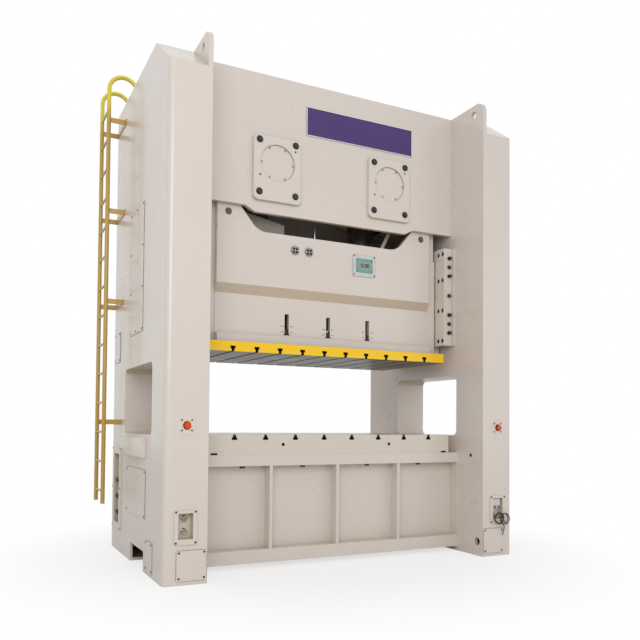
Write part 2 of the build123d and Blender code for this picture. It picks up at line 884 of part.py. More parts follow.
save("bearing_covers", *[bearing_cover(x) for x in (-crank_x, crank_x)])
save("bearing_caps", *[bearing_cap(x) for x in (-crank_x, crank_x)])
cover_bolt = bolt(cover_bolt_radius, cover_bolt_across, cover_bolt_head, cover_thickness)
cap_screw = extrude(Circle(cap_screw_radius), cap_screw_height)
cover_bolts = []
for x in (-crank_x, crank_x):
    for sx in (-1, 1):
        for sz in (-1, 1):
            cover_bolts.append(facing_front(
                cover_bolt, x + sx * cover_bolt_x, cover_seat,
                cover_z + cover_bolt_lift + sz * cover_bolt_z))
    for index in range(cap_screw_count):
        angle = 2 * pi * index / cap_screw_count
        cover_bolts.append(facing_front(
            cap_screw, x + cap_screw_circle * cos(angle), crown_front - cap_thickness,
            crank_height + cap_screw_circle * sin(angle)))
save("cover_bolts", *cover_bolts)

sign_face = Pos(sign_x, sign_z) * Rectangle(sign_width, sign_height)
save("sign_plate", extrude(front_plane(crown_front) * sign_face, sheet))


def side_cover(y, z, length, height, depth):
    """A plate with rounded corners on the right upright's outer face."""
    face = Pos(y, z) * RectangleRounded(length, height, cover_corner)
    return extrude(side_plane(half_width) * face, depth)


# Side panels and the covers over the feet
side_panel = side_cover(panel_y, panel_z, panel_length, panel_height, sheet)
foot_cover = side_cover(foot_cover_y, foot_cover_z, foot_cover_length, foot_cover_height, sheet)
toe_face = Pos(toe_cover_x, toe_cover_z) * RectangleRounded(
    toe_cover_width, toe_cover_height, cover_corner)
toe_cover = extrude(front_plane(front_y) * toe_face, sheet)
strip_panel = side_cover(strip_y, strip_z, strip_length, strip_height, sheet)
save("side_panels", *[on_side(panel, side) for side in (-1, 1)
                      for panel in (side_panel, foot_cover, toe_cover)], on_side(strip_panel, -1))
access_door = side_cover(door_y, door_z, door_length, door_height, sheet)
save("access_door", on_side(access_door, -1))
hood = side_cover(door_y, hood_z, door_length, hood_height, hood_depth)
hood = fillet(hood.faces().sort_by(Axis.X)[-1].edges(), hood_round)
hood -= extrude(side_plane(half_width - overcut) * Pos(door_y, hood_z) * Rectangle(
    door_length - 2 * hood_round, hood_height - 2 * hood_round), hood_depth - hood_wall + overcut)
save("hood", on_side(hood, -1))


def recessed_box(plane, centre, lift, opening, frame_size, frame, depth):
    """An open box with a flange, let into the sheet behind the plane."""
    middle = Pos(centre[0], centre[1] + lift)
    flange = Pos(*centre) * RectangleRounded(frame_size[0], frame_size[1], cover_corner)
    shell = middle * Rectangle(opening[0] + 2 * socket_wall, opening[1] + 2 * socket_wall)
    room = middle * Rectangle(opening[0], opening[1])
    box = extrude(plane * flange, frame) + extrude(plane * shell, -depth)
    box -= extrude(plane * room, frame + overcut)
    return box - extrude(plane * room, socket_wall - depth)


# Connector box on the left, and a socket box in the front of each upright
left_face = Plane(origin=(-half_width, 0, 0), x_dir=(0, -1, 0), z_dir=(-1, 0, 0))
plug_box = recessed_box(left_face, (-plug_box_y, plug_box_z), 0,
                        (plug_recess_length, plug_recess_height),
                        (plug_box_length, plug_box_height), plug_frame, plug_recess_depth)
save("connector_box", plug_box)
socket_box = recessed_box(front_plane(front_y), (column_mid, socket_box_z), socket_opening_lift,
                          (socket_opening_width, socket_opening_height),
                          (socket_box_width, socket_box_height), socket_frame, socket_depth)
save("right_socket_box", socket_box)
save("left_socket_box", on_side(socket_box, -1))

sockets = []
plug_floor = -half_width + plug_recess_depth - socket_wall
for row in plug_rows:
    z = plug_box_z + row
    y = plug_box_y
    plug = block(plug_floor - plug_depth, plug_floor, y - plug_length / 2, y + plug_length / 2,
                 z - plug_height / 2, z + plug_height / 2)
    sockets.append(chamfer(plug.faces().sort_by(Axis.X)[0].edges(), plug_chamfer))
socket_floor = front_y + socket_depth - socket_wall
for place in (-1, 1):
    z = socket_box_z + socket_opening_lift + place * socket_pitch / 2
    ring = bar_y(-column_mid, z, socket_radius, socket_floor - socket_rise, socket_floor)
    ring -= bar_y(-column_mid, z, socket_radius - socket_rim,
                  socket_floor - socket_rise - overcut, socket_floor - socket_base)
    sockets.append(ring)
save("sockets", *sockets)

# Connector block with two glands, and the cable that hangs from one of them
block_x = column_mid - socket_opening_width / 2 + block_width / 2 + block_round
block_top = socket_box_z + socket_opening_lift + socket_opening_height / 2 - block_top_gap
block_back = front_y + socket_depth - socket_wall
block_bottom = block_top - block_height
connector = block(block_x - block_width / 2, block_x + block_width / 2, block_back - block_depth,
                  block_back, block_bottom, block_top)
connector = fillet(connector.edges().filter_by(Axis.Y), block_round)
gland_y = block_back - gland_inset
glands = []
for place in (-gland_half_pitch, gland_half_pitch):
    gland_x = block_x + place
    gland = bar_z(gland_x, gland_y, gland_radius, block_bottom - gland_length, block_bottom)
    gland = chamfer(gland.faces().sort_by(Axis.Z)[0].edges(), gland_chamfer)
    glands.append(gland)
save("connector_block", connector, *glands)


def cable_tube(points, radius):
    """A tube of straight runs joined by tangent arcs, and its radii of bend."""
    vectors = [Vector(*point) for point in points]
    radii = []
    for before, corner, after in zip(vectors, vectors[1:], vectors[2:]):
        shorter = min((corner - before).length, (after - corner).length)
        turn = radians((corner - before).get_angle(after - corner))
        radii.append(0.45 * shorter / tan(turn / 2))
    path = FilletPolyline(*points, radius=radii)
    start = Plane(origin=path @ 0, z_dir=path % 0)
    return sweep(start * Circle(radius), path=path), radii


# The tied coil reads as two rings that cross, and the cable runs into one and out of the other
coil_x = column_mid + coil_shift
coil_y = front_y - coil_out
coil_z = socket_box_z - coil_drop


def coil_ring(side):
    """One flat-sided ring of the tied coil, on the left or on the right."""
    middle = Plane(origin=(coil_x + side * ring_half_pitch, coil_y - side * ring_step_out / 2,
                           coil_z - side * ring_step_down / 2),
                   x_dir=(side, 0, 0), z_dir=(0, 1, 0))
    turns = [2 * pi * (run + 0.5) / coil_runs for run in range(coil_runs)]
    corners = [middle.from_local_coords((coil_radius * cos(turn), coil_radius * sin(turn)))
               for turn in turns]
    start = (corners[0] + corners[-1]) / 2
    section = Plane(origin=start, z_dir=corners[0] - start) * RegularPolygon(coil_thickness, coil_sides)
    return sweep(section, path=Polyline(start, *corners, close=True), transition=Transition.RIGHT)


save("cable_coil", coil_ring(-1) + coil_ring(1))
lead_x = block_x - gland_half_pitch
lead_top = block_bottom - gland_length
lead_points = [
    (lead_x, gland_y, lead_top), (lead_x, gland_y, lead_top - 28),
    (lead_x - 3, gland_y - 22, lead_top - 56), (lead_x - 11, gland_y - 48, lead_top - 70),
    (coil_x - ring_half_pitch - coil_radius + 2, coil_y + ring_step_out / 2 + 2, coil_z),
]
tail_x = coil_x + ring_half_pitch
tail_y = coil_y - ring_step_out / 2
tail_z = coil_z - ring_step_down / 2 - coil_radius
tail_points = [
    (tail_x - 20, tail_y - 2, tail_z - 1), (tail_x - 7, tail_y + 2, tail_z - 23),
    (tail_x - 6, tail_y + 8, tail_z - 53), (tail_x - 13, tail_y + 13, tail_z - 81),
    (tail_x - 20, tail_y + 14, tail_z - 109),
]
lead, lead_radii = cable_tube(lead_points, cable_radius)
tail, tail_radii = cable_tube(tail_points, cable_radius)
print("cable bend radii", [round(radius) for radius in lead_radii + tail_radii])
save("cable", lead, tail)


# Stop buttons
def stop_switch():
    collar = bar_y(column_mid, stop_height, stop_collar_radius,
                   front_y - stop_plate_thickness - stop_collar_height,
                   front_y - stop_plate_thickness)
    barrel = bar_y(column_mid, stop_height, stop_barrel_radius, front_y - stop_plate_thickness,
                   front_y + stop_barrel_length)
    neck_room = bar_y(column_mid, stop_height, stop_neck_radius + running_clearance,
                      front_y - stop_plate_thickness - stop_collar_height - overcut,
                      front_y + stop_barrel_length - stop_barrel_end)
    return collar + barrel - neck_room


def stop_button():
    head_back = front_y - stop_plate_thickness - stop_collar_height - stop_gap
    head = bar_y(column_mid, stop_height, stop_head_radius, head_back - stop_head_height, head_back)
    head = fillet(head.edges().filter_by(GeomType.CIRCLE).group_by(Axis.Y)[0], stop_head_round)
    neck = bar_y(column_mid, stop_height, stop_neck_radius, head_back,
                 front_y + stop_barrel_length - stop_barrel_end - stop_travel - stop_neck_spare)
    return head + neck


stop_plate = bar_y(column_mid, stop_height, stop_plate_radius,
                   front_y - stop_plate_thickness, front_y)
stop_plate -= bar_y(column_mid, stop_height, stop_barrel_radius + seat_clearance,
                    front_y - stop_plate_thickness - overcut, front_y + overcut)
save("stop_plates", *[on_side(stop_plate, side) for side in (-1, 1)])
save("stop_switches", *[on_side(stop_switch(), side) for side in (-1, 1)])
save("left_stop_button", on_side(stop_button(), -1))
save("right_stop_button", stop_button())


# Ladder: two stiles that curl over onto the roof, with the rungs let in between them
ladder_x = -half_width - ladder_gap
ladder_far = back_y - ladder_back_inset
ladder_near = ladder_far - ladder_width


def ladder_stile(y):
    radius = ladder_hoop_reach / 2
    roof_x = ladder_x + ladder_hoop_reach
    hoop_z = press_height + ladder_hoop_rise
    rise = Line((ladder_x, y, ladder_bottom), (ladder_x, y, hoop_z))
    over = ThreePointArc((ladder_x, y, hoop_z), (ladder_x + radius, y, hoop_z + radius),
                         (roof_x, y, hoop_z))
    fall = Line((roof_x, y, hoop_z), (roof_x, y, press_height))
    return sweep(Pos(ladder_x, y, ladder_bottom) * Circle(ladder_tube_radius),
                 path=Wire([rise, over, fall]))


def ladder_rung(z):
    rung = bar_y(ladder_x, z, ladder_rung_radius, ladder_near, ladder_far)
    for y in (ladder_near, ladder_far):
        rung -= bar_z(ladder_x, y, ladder_tube_radius + seat_clearance,
                      z - 2 * ladder_rung_radius, z + 2 * ladder_rung_radius)
    return rung


save("ladder_stiles", ladder_stile(ladder_near), ladder_stile(ladder_far))
first_rung_z = ladder_bottom + ladder_first_rung
save("ladder_rungs", *[ladder_rung(first_rung_z + index * ladder_rung_pitch)
                       for index in range(ladder_rung_count)])
bracket_heights = [ladder_bottom + rise for rise in ladder_low_brackets]
bracket_heights += [press_height - drop for drop in ladder_high_brackets]
brackets = []
for z in bracket_heights:
    low = z - ladder_bar_height / 2
    high = z + ladder_bar_height / 2
    bracket = block(-half_width - ladder_bar_thickness, -half_width,
                    ladder_near - ladder_bar_height, ladder_far + ladder_bar_thickness, low, high)
    for y in (ladder_near, ladder_far):
        bracket += block(ladder_x, -half_width, y - ladder_bar_thickness / 2,
                         y + ladder_bar_thickness / 2, low, high)
        bracket -= bar_z(ladder_x, y, ladder_tube_radius + seat_clearance,
                         low - overcut, high + overcut)
    brackets.append(bracket)
save("ladder_brackets", *brackets)


# Gibs: the four blocks that guide the slide, with their screws
def gib_places():
    """The four corners: side of X, and side of Y."""
    return [(side, row) for row in (-1, 1) for side in (-1, 1)]


def to_corner(shape, side, row):
    """The front right corner's shape, mirrored to another corner."""
    placed = shape if row < 0 else mirror(shape, about=Plane.XZ)
    return on_side(placed, side)


def gib():
    front = gib_front
    back = gib_back
    section = polygon([
        (gib_inner_face, front), (half_clear - gib_foot_thickness, front),
        (half_clear - gib_foot_thickness, front - gib_foot_reach), (half_clear, front - gib_foot_reach),
        (half_clear, back), (gib_inner_face, back),
    ])
    body = extrude(Pos(0, 0, gib_bottom) * section, gib_height)
    for inset in gib_screw_insets:
        for row in gib_screw_rows:
            z = gib_bottom + row
            body -= bar_x(gib_front + inset, z, gib_screw_head_radius + gib_screw_play,
                          gib_inner_face - overcut, gib_inner_face + gib_screw_sink + gib_screw_head)
            body -= bar_x(gib_front + inset, z, gib_screw_radius + seat_clearance, gib_inner_face,
                          half_clear + overcut)
    for row in gib_jack_rows + gib_lock_rows:
        body -= bar_y(gib_inner_face + gib_jack_inset, gib_bottom + row,
                      gib_stud_radius + seat_clearance, front - overcut, front + gib_stud_depth)
    return body


def gib_fasteners():
    front = gib_front
    jack_x = gib_inner_face + gib_jack_inset
    pieces = []
    head_seat = gib_inner_face + gib_screw_sink + gib_screw_head
    for inset in gib_screw_insets:
        for row in gib_screw_rows:
            z = gib_bottom + row
            screw = bar_x(gib_front + inset, z, gib_screw_head_radius, gib_inner_face + gib_screw_sink,
                          head_seat)
            pieces.append(screw + bar_x(gib_front + inset, z, gib_screw_radius, head_seat, half_clear))
    nut = extrude(RegularPolygon(gib_nut_across / 2, 6, major_radius=False), gib_nut_height)
    for row in gib_jack_rows:
        z = gib_bottom + row
        stud = bar_y(jack_x, z, gib_stud_radius, front - gib_stud_out, front + gib_stud_depth)
        pieces.append(stud + facing_front(nut, jack_x, front, z))
    for row in gib_lock_rows:
        z = gib_bottom + row
        shank = bar_y(jack_x, z, gib_stud_radius, front, front + gib_stud_depth)
        pieces.append(shank + facing_front(nut, jack_x, front, z))
    return pieces


gib_body = gib()
save("front_gibs", *[to_corner(gib_body, side, row) for side, row in gib_places() if row < 0])
save("rear_gibs", *[to_corner(gib_body, side, row) for side, row in gib_places() if row > 0])
save("gib_screws", *[to_corner(piece, side, row) for side, row in gib_places()
                     for piece in gib_fasteners()])


# Slide: a welded box with ears in front and behind, and a guide rib at each corner
def slide_body():
    lower_y = slide_lower_front
    flank_y = lower_y + slide_flank_step
    rib_y = rib_front
    corner = [
        (slide_panel_half, lower_y), (slide_panel_half, flank_y), (slide_flank_half, flank_y),
        (slide_flank_half, rib_y), (slide_rib_half, rib_y), (slide_rib_half, rib_y + slide_rib_depth),
        (slide_flank_half, rib_y + slide_rib_depth),
    ]
    right = corner + [(x, -y) for x, y in reversed(corner)]
    plan = polygon(right + [(-x, y) for x, y in reversed(right)])
    body = extrude(Pos(0, 0, slide_bottom) * plan, slide_top - slide_bottom)

    front_panel = polygon([
        (slide_front, band_top), (lower_y, band_top - band_height),
        (slide_front + ear_thickness, band_top - band_height), (slide_front + ear_thickness, ear_top),
        (slide_front, ear_top),
    ])
    floor_top = slide_floor_top
    flange_y = lower_y - flange_reach
    flange = polygon([
        (flange_y, slide_bottom), (lower_y + overcut, slide_bottom), (lower_y + overcut, floor_top),
        (flange_y + flange_chamfer, floor_top), (flange_y, floor_top - flange_chamfer),
    ])
    recess_half_bottom = slide_panel_half - recess_inset
    recess_half_top = recess_half_bottom + recess_slope
    recess = polygon([
        (-recess_half_top, ear_top + overcut), (-recess_half_bottom, recess_bottom),
        (recess_half_bottom, recess_bottom), (recess_half_top, ear_top + overcut),
    ])
    recess = fillet(recess.vertices().group_by(Axis.Y)[0], recess_round)
    panel = extrude(side_plane(-slide_panel_half) * front_panel, 2 * slide_panel_half)
    panel -= extrude(front_plane(slide_front + ear_thickness + overcut) * recess,
                     ear_thickness + 2 * overcut)
    panel += extrude(side_plane(-slide_panel_half) * flange, 2 * slide_panel_half)
    body += panel
    body += mirror(panel, about=Plane.XZ)

    inside_y = -(lower_y + slide_wall)
    inside_x = slide_flank_half - slide_wall
    body -= block(-inside_x, inside_x, -inside_y, inside_y, floor_top, slide_top - slide_top_plate)

    # ball housings on their pedestals, and the openings for the rods
    for x in (-crank_x, crank_x):
        body += bar_z(x, 0, pedestal_radius, floor_top, ball_housing_bottom)
        body += bar_z(x, 0, ball_housing_radius, ball_housing_bottom, ball_housing_top)
        body -= Pos(x, 0, ball_height) * Sphere(ball_radius + seat_clearance)
        body -= bar_z(x, 0, ball_radius + seat_clearance, ball_height, ball_housing_top + overcut)
        body -= bar_z(x, 0, adjusting_gear_tip + adjusting_gear_room,
                      adjusting_gear_bottom - adjusting_gear_room, ball_housing_top + overcut)
        body -= bar_z(x, 0, rod_opening_radius, slide_top - slide_top_plate - overcut,
                      slide_top + overcut)

    # slots for the knockout bars, through both walls
    slot_bottom = floor_top + knockout_slot_lift
    for place in (-1, 0, 1):
        x = place * knockout_spacing
        for end in (-1, 1):
            y0, y1 = sorted((end * (inside_y - overcut), end * (inside_y + slide_wall + overcut)))
            body -= block(x - knockout_slot_width / 2, x + knockout_slot_width / 2, y0, y1,
                          slot_bottom, slot_bottom + knockout_slot_height)
            body -= block(x - knockout_foot_width / 2, x + knockout_foot_width / 2, y0, y1,
                          slot_bottom, slot_bottom + knockout_foot_height)
    for side in (-1, 1):
        body -= bar_y(side * ear_plug_x, ear_plug_z, plug_radius + seat_clearance,
                      slide_front - overcut, slide_front + ear_thickness + overcut)
    return body


ear_plug_x = slide_panel_half - ear_plug_inset
ear_plug_z = ear_top - ear_plug_drop
save("slide_body", slide_body())
slide_plate = slotted_plate(slide_plate_width, -slide_plate_depth / 2,
                            slide_plate_bottom, slide_bottom,
                            slide_slots, slide_slot_pitch, -1)
save("slide_plate", slide_plate)

# Bronze liners that slide on the gibs
side_liner = block(slide_flank_half, slide_flank_half + liner_plate,
                   slide_lower_front + slide_flank_step, gib_back - liner_inset,
                   liner_bottom, liner_bottom + liner_height)
front_liner = block(gib_inner_face + liner_inset, slide_rib_half - liner_inset,
                    rib_front - liner_plate, rib_front, liner_bottom, liner_bottom + liner_height)
save("slide_liners", *[to_corner(liner, side, row) for side, row in gib_places()
                       for liner in (side_liner, front_liner)])

# Knockout bars, resting at the bottom of their slots
bar_rest = slide_floor_top + knockout_slot_lift + slide_clearance
bar_reach = -slide_lower_front - knockout_bar_inset
for place, name in ((-1, "left"), (0, "middle"), (1, "right")):
    x = place * knockout_spacing
    bar = block(x - knockout_bar_width / 2, x + knockout_bar_width / 2, -bar_reach, bar_reach,
                bar_rest, bar_rest + knockout_bar_height)
    save(f"{name}_knockout_bar", chamfer(bar.edges().filter_by(Axis.Y), knockout_bar_chamfer))

# Display, plugs in the ears and the two round fittings on the slide's front
display_z = slide_top - display_drop
knurl_z = slide_top - knurl_drop
bezel_face = Pos(display_x, display_z) * RectangleRounded(display_width, display_height, display_corner)
screen_face = Pos(display_x, display_z) * RectangleRounded(screen_width, screen_height, screen_corner)
bezel = extrude(front_plane(slide_front) * bezel_face, display_depth)
bezel = chamfer(bezel.faces().sort_by(Axis.Y)[0].edges(), display_chamfer)
bezel -= extrude(front_plane(slide_front + overcut) * offset(screen_face, amount=side_clearance),
                 display_depth + 2 * overcut)
save("display_frame", bezel)
save("display_screen", extrude(front_plane(slide_front) * screen_face, display_depth - screen_sink))
fittings = []
for side in (-1, 1):
    fittings.append(bar_y(side * ear_plug_x, ear_plug_z, plug_radius, slide_front + ear_plug_sink,
                          slide_front + ear_thickness))
for x in knurl_places:
    knurl = bar_y(x, knurl_z, knurl_radius, slide_front - knurl_height, slide_front)
    knurl = chamfer(knurl.edges().filter_by(GeomType.CIRCLE).group_by(Axis.Y)[0], knurl_chamfer)
    for turn in knurl_slot_turns:
        cross = Plane(origin=(x, slide_front - knurl_height, knurl_z), x_dir=(1, 0, 0), z_dir=(0, 1, 0))
        knurl -= cross * Rot(0, 0, turn) * Box(knurl_slot_length, knurl_slot, knurl_height)
    fittings.append(knurl)
save("slide_fittings", *fittings)


# Gear teeth with involute flanks, thinned for backlash
def gear_face_outline(teeth, module, phase, flank_points):
    """The outline of a spur gear in its own plane, one tooth centred on the phase angle."""
    pitch_radius = module * teeth / 2
    base_radius = pitch_radius * cos(radians(pressure_angle))
    root = pitch_radius - gear_dedendum * module
    tip = pitch_radius + gear_addendum * module
    start = max(root, base_radius)
    radii = [start + (tip - start) * i / (flank_points - 1) for i in range(flank_points)]
    roll = radians(pressure_angle)
    half_tooth = (pi * module / 2 - gear_backlash) / 2 / pitch_radius + tan(roll) - roll

    def half_angle(radius):
        slope = acos(base_radius / radius)
        return half_tooth - (tan(slope) - slope)

    flank = [(radius, half_angle(radius)) for radius in radii]
    if start > root:
        flank.insert(0, (root, flank[0][1]))
    outline = []
    for index in range(teeth):
        centre = phase + 2 * pi * index / teeth
        outline += [(r * cos(centre - a), r * sin(centre - a)) for r, a in flank]
        outline += [(r * cos(centre + a), r * sin(centre + a)) for r, a in reversed(flank)]
    return polygon(outline)


def turn_plane(x, y, z):
    """A plane across a shaft: local x is X, local y is Z, and it faces the front."""
    return Plane(origin=(x, y, z), x_dir=(1, 0, 0), z_dir=(0, -1, 0))


# Both bull gears mesh with the one pinion between and above them
pinion_tooth_step = 2 * pi / pinion_teeth
to_right_gear = atan2(crank_height - pinion_height, crank_x)
pinion_phase = to_right_gear + pinion_tooth_step / 2


def bull_gear(side):
    """A bull gear whose phase meets the pinion's teeth at rest."""
    toward_gear = atan2(crank_height - pinion_height, side * crank_x)
    steps = (toward_gear - pinion_phase) / pinion_tooth_step - 0.5
    space_lead = (round(steps) - steps) * pinion_tooth_step
    phase = toward_gear + pi - space_lead * pinion_pitch_radius / bull_pitch_radius
    back = gear_front + gear_face
    where = turn_plane(side * crank_x, back, crank_height)
    outline = gear_face_outline(bull_teeth, gear_module, phase, bull_flank_points)
    body = extrude(where * outline, gear_face)
    rim = bull_pitch_radius - gear_dedendum * gear_module - gear_rim
    hub = journal_radius + gear_hub_wall
    pocket = Circle(rim) - Circle(hub)
    depth = (gear_face - gear_web) / 2
    body -= extrude(where * pocket, depth)
    body -= extrude(turn_plane(side * crank_x, gear_front, crank_height) * pocket, -depth)
    hole_circle = (rim + hub) / 2
    for index in range(gear_hole_count):
        angle = 2 * pi * index / gear_hole_count
        body -= bar_y(side * crank_x + hole_circle * cos(angle),
                      crank_height + hole_circle * sin(angle), gear_hole_radius,
                      gear_front, back)
    return body - bar_y(side * crank_x, crank_height, journal_radius + seat_clearance,
                        gear_front - overcut, back + overcut)


save("left_gear", bull_gear(-1))
save("right_gear", bull_gear(1))


def pinion_shaft():
    back = gear_front + gear_face
    outline = gear_face_outline(pinion_teeth, gear_module, pinion_phase, pinion_flank_points)
    body = extrude(turn_plane(0, back, pinion_height) * outline, gear_face)
    return body + bar_y(0, pinion_height, pinion_shaft_radius,
                        middle_wall_front - rear_boss_length, clutch_front + clutch_width)


save("pinion_shaft", pinion_shaft())


# Cranks, in two halves with the pin held between their webs
def crank(x):
    web_face = make_hull(
        (Circle(crank_web_radius).edges()
         + (Pos(0, slide_stroke / 2) * Circle(crank_web_radius)).edges()))
    spread = radians(counterweight_half_angle)
    weight = make_face([
        Line((0, 0), (-counterweight_radius * sin(spread), -counterweight_radius * cos(spread))),
        ThreePointArc((-counterweight_radius * sin(spread), -counterweight_radius * cos(spread)),
                      (0, -counterweight_radius),
                      (counterweight_radius * sin(spread), -counterweight_radius * cos(spread))),
        Line((counterweight_radius * sin(spread), -counterweight_radius * cos(spread)), (0, 0)),
    ])
    face = web_face + weight
    gap = rod_width / 2 + side_clearance
    front = extrude(turn_plane(x, -gap, crank_height) * face, crank_web)
    front += bar_y(x, crank_height, journal_radius, crown_front + journal_end,
                   -gap - crank_web)
    rear = extrude(turn_plane(x, gap + crank_web, crank_height) * face, crank_web)
    rear += bar_y(x, crank_height, journal_radius, gap + crank_web, back_y - journal_end)
    return [front, rear]


save("left_crank", *crank(-crank_x))
save("right_crank", *crank(crank_x))


def rod(x):
    eye = crank_pin_radius + rod_eye_wall
    shank = polygon([
        (-rod_sleeve_radius, rod_flare_bottom), (rod_sleeve_radius, rod_flare_bottom),
        (rod_shank_half, pin_height), (-rod_shank_half, pin_height),
    ])
    body = bar_y(x, pin_height, eye, -rod_width / 2, rod_width / 2)
    body += extrude(turn_plane(x, rod_shank_depth / 2, 0) * shank, rod_shank_depth)
    body += bar_z(x, 0, rod_sleeve_radius, rod_sleeve_bottom, rod_sleeve_top)
    body -= bar_z(x, 0, screw_radius + running_clearance, rod_sleeve_bottom - overcut,
                  screw_bore_top)
    return body - bar_y(x, pin_height, crank_pin_radius + seat_clearance,
                        -rod_width / 2 - overcut, rod_width / 2 + overcut)


save("left_rod", rod(-crank_x))
save("right_rod", rod(crank_x))
save("crank_pins", *[bar_y(x, pin_height, crank_pin_radius, -rod_width / 2, rod_width / 2)
                     for x in (-crank_x, crank_x)])


def adjusting_screw(x):
    """A screw that turns up into its rod, on a ball held in the slide."""
    ball = Sphere(ball_radius)
    screw = Pos(x, 0, ball_height) * ball
    return screw + bar_z(x, 0, screw_radius, ball_height, screw_top)


def adjusting_gear(x):
    outline = gear_face_outline(adjusting_gear_teeth, adjusting_gear_module, 0,
                                adjusting_gear_flank_points)
    gear = extrude(Pos(x, 0, adjusting_gear_bottom) * outline, adjusting_gear_face)
    return gear - bar_z(x, 0, screw_radius + seat_clearance, adjusting_gear_bottom - overcut,
                        adjusting_gear_bottom + adjusting_gear_face + overcut)


save("adjusting_screws", *[adjusting_screw(x) for x in (-crank_x, crank_x)])
save("adjusting_gears", *[adjusting_gear(x) for x in (-crank_x, crank_x)])


# Balance cylinders on the crown's shelves, with pistons that stand on the slide
def balance_cylinder():
    bottom = balance_shelf + roof_plate
    top = bottom + balance_height
    body = bar_z(balance_x, 0, balance_radius, bottom, top)
    body += bar_z(balance_x, 0, balance_flange_radius, bottom, bottom + balance_cap)
    body -= bar_z(balance_x, 0, balance_radius - balance_wall, bottom + balance_cap,
                  top - balance_cap)
    return body - bar_z(balance_x, 0, balance_rod_radius + running_clearance, bottom - overcut,
                        bottom + balance_cap + overcut)


def balance_piston():
    rod_foot = bar_z(balance_x, 0, balance_rod_foot, slide_top, slide_top + balance_rod_foot_height)
    rod_bar = bar_z(balance_x, 0, balance_rod_radius, slide_top, balance_piston_bottom)
    piston = bar_z(balance_x, 0, balance_radius - balance_wall - running_clearance,
                   balance_piston_bottom, balance_piston_bottom + balance_piston_height)
    return rod_foot + rod_bar + piston


save("balance_cylinders", *[on_side(balance_cylinder(), side) for side in (-1, 1)])
save("balance_pistons", *[on_side(balance_piston(), side) for side in (-1, 1)])


def groove_places():
    """The belts' places across the rim, from its middle."""
    return [(index - (belt_count - 1) / 2) * belt_pitch for index in range(belt_count)]


def grooved(wheel, x, z, radius, middle):
    """The wheel with its belt grooves cut."""
    for place in groove_places():
        y0 = middle + place - groove_width / 2
        ring = bar_y(x, z, radius + overcut, y0, y0 + groove_width)
        wheel -= ring - bar_y(x, z, radius - groove_depth, y0, y0 + groove_width)
    return wheel


# Flywheel on the pinion shaft, and the clutch behind it
def flywheel():
    front = flywheel_front
    back = front + flywheel_width
    hub = pinion_shaft_radius + flywheel_hub_wall
    depth = (flywheel_width - flywheel_web) / 2
    body = bar_y(0, pinion_height, flywheel_radius, front, back)
    body = grooved(body, 0, pinion_height, flywheel_radius, (front + back) / 2)
    for y0 in (front, back - depth):
        pocket = bar_y(0, pinion_height, flywheel_radius - flywheel_rim, y0, y0 + depth)
        body -= pocket - bar_y(0, pinion_height, hub, y0, y0 + depth)
    return body - bar_y(0, pinion_height, pinion_shaft_radius + running_clearance,
                        front - overcut, back + overcut)


def clutch():
    front = clutch_front
    back = front + clutch_width
    body = bar_y(0, pinion_height, clutch_radius, front, back)
    body = chamfer(body.edges().filter_by(GeomType.CIRCLE).group_by(Axis.Y)[-1], clutch_chamfer)
    return body - bar_y(0, pinion_height, pinion_shaft_radius + seat_clearance,
                        front - overcut, back + overcut)


save("flywheel", flywheel())
save("clutch", clutch())


# Motor on the roof, its pulley and the belts
def motor():
    front = motor_front
    back = motor_back
    centre = motor_height
    base_top = press_height + motor_base_height
    body = bar_y(motor_x, centre, motor_radius, front, back)
    foot_front = front + motor_foot_inset
    foot_back = back - motor_foot_inset
    body += block(motor_x - motor_foot_width / 2, motor_x + motor_foot_width / 2,
                  foot_front, foot_back, base_top, base_top + motor_foot_height)
    body += block(motor_x - motor_saddle_width / 2, motor_x + motor_saddle_width / 2,
                  foot_front, foot_back, base_top, centre)
    box_front = front + motor_box_setback
    body += block(motor_x - motor_box_size / 2, motor_x + motor_box_size / 2,
                  box_front, box_front + motor_box_size, centre,
                  centre + motor_radius + motor_box_rise)
    return body - bar_y(motor_x, centre, motor_shaft_radius + running_clearance,
                        back - motor_bore_depth, back + overcut)


def motor_pulley():
    front = flywheel_front
    back = front + flywheel_width
    body = bar_y(motor_x, motor_height, pulley_radius, front, back)
    body = grooved(body, motor_x, motor_height, pulley_radius, (front + back) / 2)
    shaft_end = motor_back - motor_bore_depth + journal_end
    return body + bar_y(motor_x, motor_height, motor_shaft_radius, shaft_end, back)


def belt(place):
    """One belt around the flywheel and the motor's pulley, clear of both grooves."""
    def loop(sink):
        wheels = [(0, pinion_height, flywheel_radius), (motor_x, motor_height, pulley_radius)]
        edges = ShapeList()
        for x, z, radius in wheels:
            edges += (Pos(x, z) * Circle(radius - sink)).edges()
        return make_hull(edges)

    inner_sink = groove_depth - belt_lift
    face = loop(inner_sink - belt_height) - loop(inner_sink)
    middle = flywheel_front + flywheel_width / 2 + place
    return extrude(front_plane(middle + belt_width / 2) * face, belt_width)


save("motor", motor())
save("motor_pulley", motor_pulley())
save("drive_belts", *[belt(place) for place in groove_places()])
base = block(motor_x - motor_foot_width / 2 - motor_base_margin,
             motor_x + motor_foot_width / 2 + motor_base_margin,
             motor_front + motor_base_margin, motor_back - motor_base_margin,
             press_height, press_height + motor_base_height)
save("motor_base", base)


# Guard round the flywheel and the belts, open towards the crown
def belt_guard():
    def around(extra):
        edges = ShapeList()
        edges += (Pos(0, pinion_height) * Circle(flywheel_radius + extra)).edges()
        edges += (Pos(motor_x, motor_height) * Circle(pulley_radius + extra)).edges()
        return make_hull(edges)

    back = clutch_front + guard_back_gap
    guard_length = back - back_y
    body = extrude(front_plane(back) * around(guard_gap + guard_wall), guard_length)
    body -= extrude(front_plane(back - guard_wall) * around(guard_gap), guard_length)
    return body - bar_y(0, pinion_height, clutch_radius + guard_hole_gap, back - 2 * guard_wall,
                        back + overcut)


save("belt_guard", belt_guard())
